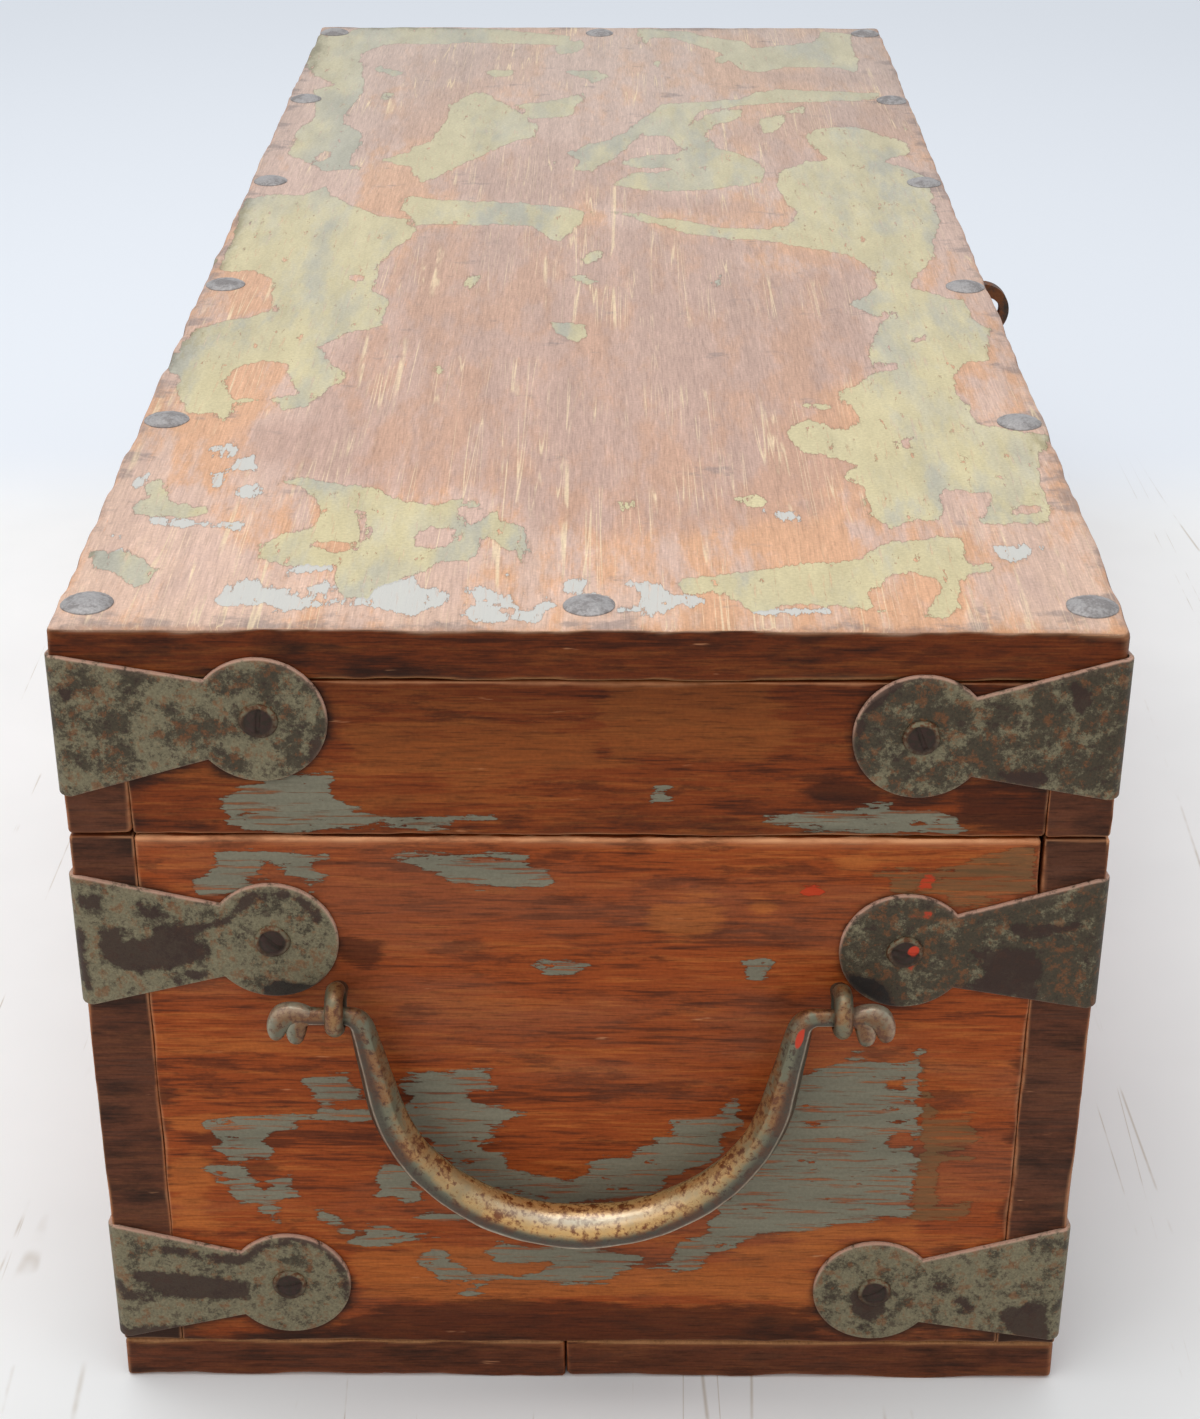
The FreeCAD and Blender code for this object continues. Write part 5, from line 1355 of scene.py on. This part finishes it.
PIVOT_LEVEL, PIVOT_OUT, EYE_ACROSS, EYE_LEVEL = 119.3, 9.0, 59.5, 121.1
EYE_RADIUS, EYE_WIRE = 4.3, 2.25
BAIL_DROP, BAIL_BEND, BEND_END, NECK = 62.3, 4.0, 55.5, 11.2
SPLAY = math.radians(11.4)
BOTH_RADII = (BEND_END * math.cos(SPLAY) - BAIL_DROP * math.sin(SPLAY)) / (1 - math.sin(SPLAY))
GRIP_ARC = BOTH_RADII - BAIL_BEND
LEG = (BEND_END - BOTH_RADII * math.cos(SPLAY)) / math.sin(SPLAY)
FOOT = GRIP_ARC * (math.pi / 2 - SPLAY)  # the grip's arc from its middle to a leg
BAR_RADII = (5.6, 4.9, 4.2, 3.1, 2.2, 2.2)
SLIDES = {"near": -1.8, "far": 0.8}
# The cloven end of the bar: two toes past the eye.  Each station: along, up, half width in
# the bail's plane, half thickness across it.
TOES = (
    ((4.4, 0.2, 1.8, 1.9), (7.4, 0.8, 2.5, 2.0), (10.3, 0.1, 3.0, 2.1), (11.9, -2.4, 2.7, 2.0),
     (12.3, -4.9, 2.0, 1.7), (12.1, -6.9, 1.1, 1.2)),
    ((4.6, -0.1, 1.6, 1.8), (6.6, -1.2, 2.2, 1.9), (7.6, -3.4, 2.5, 1.9), (7.8, -5.8, 2.1, 1.7),
     (7.6, -8.0, 1.1, 1.1)),
)


def add_forged(sheets, wall, grid, gold=0, shade=0, pale=0, red=0, **round_ways):
    """Add a round bar or plate of forged iron, with where it is rubbed golden, where painted shade
    and painted highlights lie, and where it is red.
    """
    fields = {name: np.broadcast_to(values, grid.shape[:2]) for name, values in (
        ("gold", gold), ("shade", shade), ("pale", pale), ("red", red))}
    sheets.add(on_wall(grid, wall), fields, round_columns=True, **round_ways)


def beside(way):
    """The flat ways at right angles to some flat ways."""
    return np.stack([way[:, 1], -way[:, 0]], axis=-1)


def half_bail():
    """Middle line of half the bail, from the grip to past the eye: points, how far along and
    the bar's radius, which tapers evenly between the forged stations."""
    arc = np.linspace(-math.pi / 2, -SPLAY, 46)
    grip = spread(np.cos(arc), np.sin(arc)) * GRIP_ARC + np.array([0, GRIP_ARC - BAIL_DROP])
    lean = np.array([math.sin(SPLAY), math.cos(SPLAY)])
    leg = grip[-1] + np.linspace(0, LEG, 16)[1:, None] * lean
    turn = np.linspace(math.pi - SPLAY, math.pi / 2, 9)[1:]
    bend = leg[-1] + BAIL_BEND * (
        lean[::-1] * np.array([1, -1]) + spread(np.cos(turn), np.sin(turn)))
    neck = bend[-1] + np.linspace(0, NECK, 10)[1:, None] * np.array([1.0, 0.0])
    points = np.concatenate([grip, leg, bend, neck])
    steps = np.linalg.norm(np.diff(points, axis=0), axis=1)
    along = np.concatenate([[0], np.cumsum(steps)])
    stations = (0, GRIP_ARC * math.pi / 4, FOOT, FOOT + LEG,
                FOOT + LEG + BAIL_BEND * (math.pi / 2 - SPLAY), along[-1])
    return points, along, np.interp(along, stations, BAR_RADII)


def bail(wall, seed):
    """The bail as a section carried along the middle line and its mirror image.

    At each point the section stands in the plane of the front-facing way and the way out of
    the curve.  Its radius is the bar's times 1 + f (0.885 / cos(a mod 60) - 1), a hexagon by
    the share f, which is full on the legs and nothing at the grip.
    """
    points, along, radius = half_bail()
    points = np.concatenate([points[:0:-1] * np.array([-1, 1]), points])
    radius = np.concatenate([radius[:0:-1], radius])[:, None]
    along = np.concatenate([-along[:0:-1], along])[:, None]
    outward = beside(normalised(np.gradient(points, axis=0)))
    angle = circle(48)
    faceted = unit((np.abs(along) - FOOT * 0.35) / (FOOT * 0.5))
    faceted = faceted * np.clip((FOOT + LEG + 3 - np.abs(along)) / 6, 0.15, 1)
    sector = np.mod(angle + math.pi / 6, math.pi / 3) - math.pi / 6
    shape = 1 + faceted * (0.885 / np.cos(sector) - 1) * 0.95
    flat_front = 1 - 0.07 * unit(np.cos(angle - 0.15) - 0.75) / 0.25
    size = radius * shape * flat_front
    side = np.sin(angle) * size
    centre = spread(points[:, :1], 0, points[:, 1:])
    grid = centre + spread(outward[:, :1] * side, -np.cos(angle) * size, outward[:, 1:] * side)
    blows = ripple(grid, 9, seed) * 0.02 + ripple(grid, 26, seed + 1) * 0.012 - 0.02
    grid = centre + (grid - centre) * (1 + blows)[..., None]

    # Gold: rubbed golden rust on the upper, inner side, partly painted light from above.  Shade:
    # painted shade on the underside.  Pale: a painted reflection of the floor along the lower
    # outer edge, and a painted highlight on top of the grip.
    inner, hands = -np.sin(angle), bell(along, 48)
    fields = {
        "gold": unit((inner - 0.05 + 0.25 * hands) / 0.45) * (0.05 + 0.95 * hands),
        "shade": unit((0.12 - inner) / 0.35) * 0.8,
        "pale": bell(angle - 0.8, 0.11) * (0.7 + 0.3 * hands)
        + 0.95 * bell(angle - 2 * math.pi + 0.9, 0.28) * bell(along, 22),
        "red": bell(along - FOOT - LEG + 1, 3.4) * (wall == "near")
        * bell(np.mod(angle + math.pi, 2 * math.pi) - math.pi, 0.4),
    }
    fields = {name: np.broadcast_to(values, size.shape) for name, values in fields.items()}
    place = np.array([SLIDES[wall], -PIVOT_OUT, PIVOT_LEVEL])
    sheets = Sheets()
    add_forged(sheets, wall, grid + place, **fields)
    for row in (0, -1):
        cap = np.stack(np.broadcast_arrays(grid[row], grid[row].mean(axis=0)))
        add_forged(sheets, wall, cap + place,
                   **{name: values[row] for name, values in fields.items()})
    for side_way in (-1, 1):
        for toe in TOES:
            add_toe(sheets, toe, side_way, wall, place)
    return sheets


def smooth_path(stations, count):
    """Points of a smooth curve through the stations: each column is a Catmull-Rom spline."""
    table = np.array(stations, float)
    table = np.concatenate([2 * table[:1] - table[1:2], table, 2 * table[-1:] - table[-2:-1]])
    place = np.linspace(1, len(table) - 2, count)
    whole = np.minimum(place.astype(int), len(table) - 3)
    part = (place - whole)[:, None]
    before, here, after, beyond = (table[whole + step] for step in (-1, 0, 1, 2))
    return 0.5 * (
        2 * here + (after - before) * part
        + (2 * before - 5 * here + 4 * after - beyond) * part ** 2
        + (3 * here - before - 3 * after + beyond) * part ** 3
    )


def add_toe(sheets, stations, side_way, wall, place):
    """One toe: an oval section carried along its curve, closed by a rounded tip."""
    curve = smooth_path(stations, 30)
    scale = np.ones((30, 1))
    scale[-6:, 0] = np.sqrt(1 - np.linspace(0, 1, 6) ** 2)
    across = beside(normalised(np.gradient(curve[:, :2], axis=0)))
    angle = circle(20)
    wide, thick = (
        curve[:, column:column + 1] * scale * np.sign(turn) * np.abs(turn) ** 0.7
        for column, turn in ((2, np.cos(angle)), (3, np.sin(angle))))
    grid = spread((EYE_ACROSS + curve[:, :1] + across[:, :1] * wide) * side_way, thick,
                  curve[:, 1:2] + across[:, 1:] * wide)
    # Painted shade on the toes' inner side, and a painted highlight on their outer side.
    outer = unit(-np.cos(angle))
    add_forged(sheets, wall, grid + place, 0.1, 0.3 - 0.3 * outer, outer * 0.35)


def eye(wall, side_way):
    """One split-pin eye: a half-round section turned into a ring, its shank through the board
    and its legs bent flat inside."""
    sheets = Sheets()
    centre = np.array([EYE_ACROSS * side_way, 0, EYE_LEVEL])
    half, turn = np.linspace(0, math.pi, 15), circle(56)[:, None]
    flat = np.linspace(-EYE_WIRE, EYE_WIRE, 7)[1:-1]
    lateral = np.append(EYE_WIRE * np.cos(half), flat)
    radial = np.append(EYE_RADIUS + EYE_WIRE * np.sin(half), np.full(5, EYE_RADIUS))
    ring = spread(lateral, np.cos(turn) * radial - PIVOT_OUT, np.sin(turn) * radial) + centre
    ring = ring + 0.06 * ripple(ring, 5, 81)[..., None]
    outer = (radial - EYE_RADIUS) / EYE_WIRE
    # Gold on the ring's outside, painted shade on its inside.
    add_forged(sheets, wall, ring, 0.22 * outer, 0.6 - 0.5 * outer, round_rows=True)

    angle, rod = circle(24), EYE_WIRE * 0.98
    depth = np.array([EYE_RADIUS - PIVOT_OUT, -2, 0, 8, BOARD + 1.1, BOARD + 1.1])[:, None]
    width = np.array([rod, rod, rod, rod, rod, 0])[:, None]
    add_forged(sheets, wall, centre + spread(
        width * np.cos(angle), depth, width * np.sin(angle)), shade=0.7)
    level = np.linspace(-1, 1, 33)[:, None]
    swell = np.sqrt(unit(1 - np.abs(level) ** 8))
    add_forged(sheets, wall, centre + spread(
        EYE_WIRE * swell * np.cos(angle), BOARD + rod * swell * (0.5 + 0.5 * np.sin(angle)),
        level * 11), shade=0.7)
    return sheets


class CHEST_OT_handles(bpy.types.Operator):
    """Make the two forged drop handles and their four eyes"""
    bl_idname = "chest.handles"
    bl_label = "Handles and eyes"

    def execute(self, context):
        scene = context.scene
        material = forged_iron("forged_iron_rubbed_golden", scene.chest_iron,
                               scene.chest_paint)
        for seed, wall in enumerate(("near", "far"), start=91):
            put_piece(f"forged_{wall}_bail", bail(wall, seed), material, f"{wall}_bail",
                      (f"{wall}_handle",))
            for side in ("front", "back"):
                side_way = 1 if (side == "front") == (wall == "near") else -1
                put_piece(f"split_pin_{wall}_eye_{side}", eye(wall, side_way), material,
                          "chest", (f"{wall}_eye_{side}",))
        return {"FINISHED"}


# ---------------------------------------------------------------- hinges and hasp


HINGE_NODES = (
    "hinge_leaf_chest_near", "hinge_leaf_chest_far", "hinge_leaf_lid_near",
    "hinge_leaf_lid_far", "hasp_plate", "hasp_arm", "padlock_lug", "lug_washer",
)
PIN_NODES = ("hinge_pin_near", "hinge_pin_far", "hasp_pin")
SMALL_SCREW_NODES = ("chest_hinge_screws", "lid_hinge_screws", "hasp_screws")


class CHEST_OT_hardware(bpy.types.Operator):
    """Give the hinges, the hasp and their pins and screws their iron"""
    bl_idname = "chest.hardware"
    bl_label = "Hinges and hasp"

    def execute(self, context):
        iron = context.scene.chest_iron
        for nodes, material in (
            (HINGE_NODES, dull_iron("rolled_hinge_iron_gone_brown", iron.shade,
                                    iron.rust_rim, 6.0, 0.45, 0.45)),
            (PIN_NODES, dull_iron("drawn_pin_iron", iron.bare, iron.rust, 4.0, 0.6, 0.4)),
            (SMALL_SCREW_NODES, dull_iron("small_filed_screws", iron.shade, iron.amber, 2.0,
                                          0.4, 0.45)),
        ):
            for node in nodes:
                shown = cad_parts[node]
                shown.data.materials.clear()
                shown.data.materials.append(material)
        return {"FINISHED"}


# ---------------------------------------------------------------- stage


def studio_floor():
    """A wide flat floor: the points (x, y, 0) of an even grid."""
    wide = np.linspace(-12, 12, 25)
    grid = spread(wide[None, :], wide[:, None], 0).reshape(-1, 3)
    mesh = bpy.data.meshes.new("studio_floor")
    mesh.from_pydata(grid.tolist(), [], grid_quads(len(wide), len(wide)).tolist())
    return mesh


def seen_share(node, share):
    """A share that only the camera, mirrors and glass see."""
    seen = node("LightPath", out="Is Camera Ray")
    for ray in ("Is Glossy Ray", "Is Transmission Ray"):
        seen = node("ADD", seen, node("LightPath", out=ray), use_clamp=True)
    return node("MULTIPLY", seen, share)


def floor_paint(stage):
    """Matt studio paint: a pale floor with fine scratches, painted shade darkening it towards
    the front, a cooler tint past the chest, and the backdrop's even glow far out on all sides."""
    material, node, place, _ = new_material("matt_studio_paint")
    away = node("SeparateXYZ", place, out="Y")
    crack = fine_lines(node, place, (0.5, 1.3, 2.2, 2.9), 0.07, 0.03, 0.0020)
    faded = node("Level", node("TexNoise", place, 13.0, 4, 0.65), 0.50, 0.62, 0.0, 0.45)
    cloud = node("MapRange", node("TexNoise", place, 5.0, 4, 0.6), 0.3, 0.7, 0.94, 1.03)
    # Painted shade: the floor grows darker towards the front.
    cloud = node("MULTIPLY", cloud, node("Level", away, -0.5, -0.2, 0.9, 1.0))
    colour = coats(
        node, node("Brighten", stage.floor[:3], named={"Scale": cloud}),
        (node("MULTIPLY", crack, faded), stage.crack),
        (node("Level", away, 0.24, 0.36), stage.far_floor),
    )
    matt = node("BsdfPrincipled", named={
        "Base Color": colour, "Roughness": 0.9, "Specular IOR Level": 0.0,
    })
    glow = node("Emission", stage.backdrop)
    far_out = node("VectorMath", place, operation="LENGTH", out="Value")
    far_out = node("Level", far_out, 1.2, 2.6)
    node("OutputMaterial", node("MixShader", seen_share(node, far_out), matt, glow))
    return material


def area_light(name, place, aim, size, power, colour):
    """A large soft light at a place, turned towards its aim."""
    data = bpy.data.lights.new(name, "AREA")
    data.shape = "RECTANGLE"
    data.size, data.size_y = size
    data.energy = power
    data.color = linear(colour)[:3]
    light = bpy.data.objects.new(name, data)
    light.location = place
    light.rotation_euler = (Vector(aim) - light.location).to_track_quat("-Z", "Y").to_euler()
    light.visible_camera = False
    bpy.context.scene.collection.objects.link(light)


CAMERA_PLACE = (4.0, -796.0, 456.9)
CAMERA_YAW, CAMERA_PITCH, CAMERA_ROLL = 0.176, -27.635, -0.114


class CHEST_OT_stage(bpy.types.Operator):
    """Set up the floor and backdrop, the soft lights and the camera"""
    bl_idname = "chest.stage"
    bl_label = "Stage and camera"

    def execute(self, context):
        scene = context.scene
        settings = scene.chest_stage
        floor = bpy.data.objects.new("studio_floor", studio_floor())
        floor.data.materials.append(floor_paint(settings))
        scene.collection.objects.link(floor)

        world = bpy.data.worlds.new("even_light")
        scene.world = world
        world.use_nodes = True
        world.node_tree.nodes.clear()
        node = partial(add, world.node_tree)
        sky = node("Background", linear("#f4f6fa"), settings.sky)
        backdrop = node("Background", settings.backdrop, 1.0)
        node("OutputWorld", node("MixShader", seen_share(node, 1.0), sky, backdrop))
        area_light("soft_light_above", (-0.3, -0.1, 1.9), (0, 0, 0.1), (1.6, 1.6),
                   settings.above, "#ffffff")
        area_light("soft_light_in_front", (-0.9, -1.9, 0.9), (0, -0.2, 0.1), (1.6, 1.2),
                   settings.front, "#fff6ea")

        camera = bpy.data.objects.new("camera", bpy.data.cameras.new("camera"))
        camera.data.lens = 63.65
        camera.data.sensor_width = 36.0
        camera.data.clip_start = 0.01
        turn = (
            Matrix.Rotation(math.radians(CAMERA_YAW), 4, "Z")
            @ Matrix.Rotation(math.radians(CAMERA_PITCH), 4, "X")
            @ Matrix.Rotation(math.radians(CAMERA_ROLL), 4, "Y")
            @ Matrix.Rotation(math.radians(90), 4, "X")
        )
        place = Matrix.Translation([part * MM for part in CAMERA_PLACE])
        camera.matrix_world = place @ turn
        scene.collection.objects.link(camera)
        scene.camera = camera
        scene.view_settings.view_transform = "Standard"
        return {"FINISHED"}


# ---------------------------------------------------------------- panel and registration


STEPS = (
    CHEST_OT_body_boards, CHEST_OT_lid_boards, CHEST_OT_corner_straps, CHEST_OT_strap_screws,
    CHEST_OT_nails, CHEST_OT_handles, CHEST_OT_hardware, CHEST_OT_stage,
)


class CHEST_PT_panel(bpy.types.Panel):
    bl_idname = "CHEST_PT_panel"
    bl_label = "Travelling chest"
    bl_space_type = "VIEW_3D"
    bl_region_type = "UI"
    bl_category = "Chest"

    def draw(self, context):
        for step in STEPS:
            self.layout.operator(step.bl_idname)


SETTINGS = {
    "chest_wood": WoodSettings, "chest_paint": PaintSettings, "chest_iron": IronSettings,
    "chest_stage": StageSettings,
}


def register():
    for settings in SETTINGS.values():
        bpy.utils.register_class(settings)
    for name, settings in SETTINGS.items():
        setattr(bpy.types.Scene, name, bpy.props.PointerProperty(type=settings))
    for step in STEPS:
        bpy.utils.register_class(step)
    bpy.utils.register_class(CHEST_PT_panel)


def unregister():
    bpy.utils.unregister_class(CHEST_PT_panel)
    for step in reversed(STEPS):
        bpy.utils.unregister_class(step)
    for name, settings in SETTINGS.items():
        delattr(bpy.types.Scene, name)
        bpy.utils.unregister_class(settings)


def main():
    register()
    for step in STEPS:
        group, name = step.bl_idname.split(".")
        getattr(getattr(bpy.ops, group), name)()


if __name__ == "__main__":
    main()
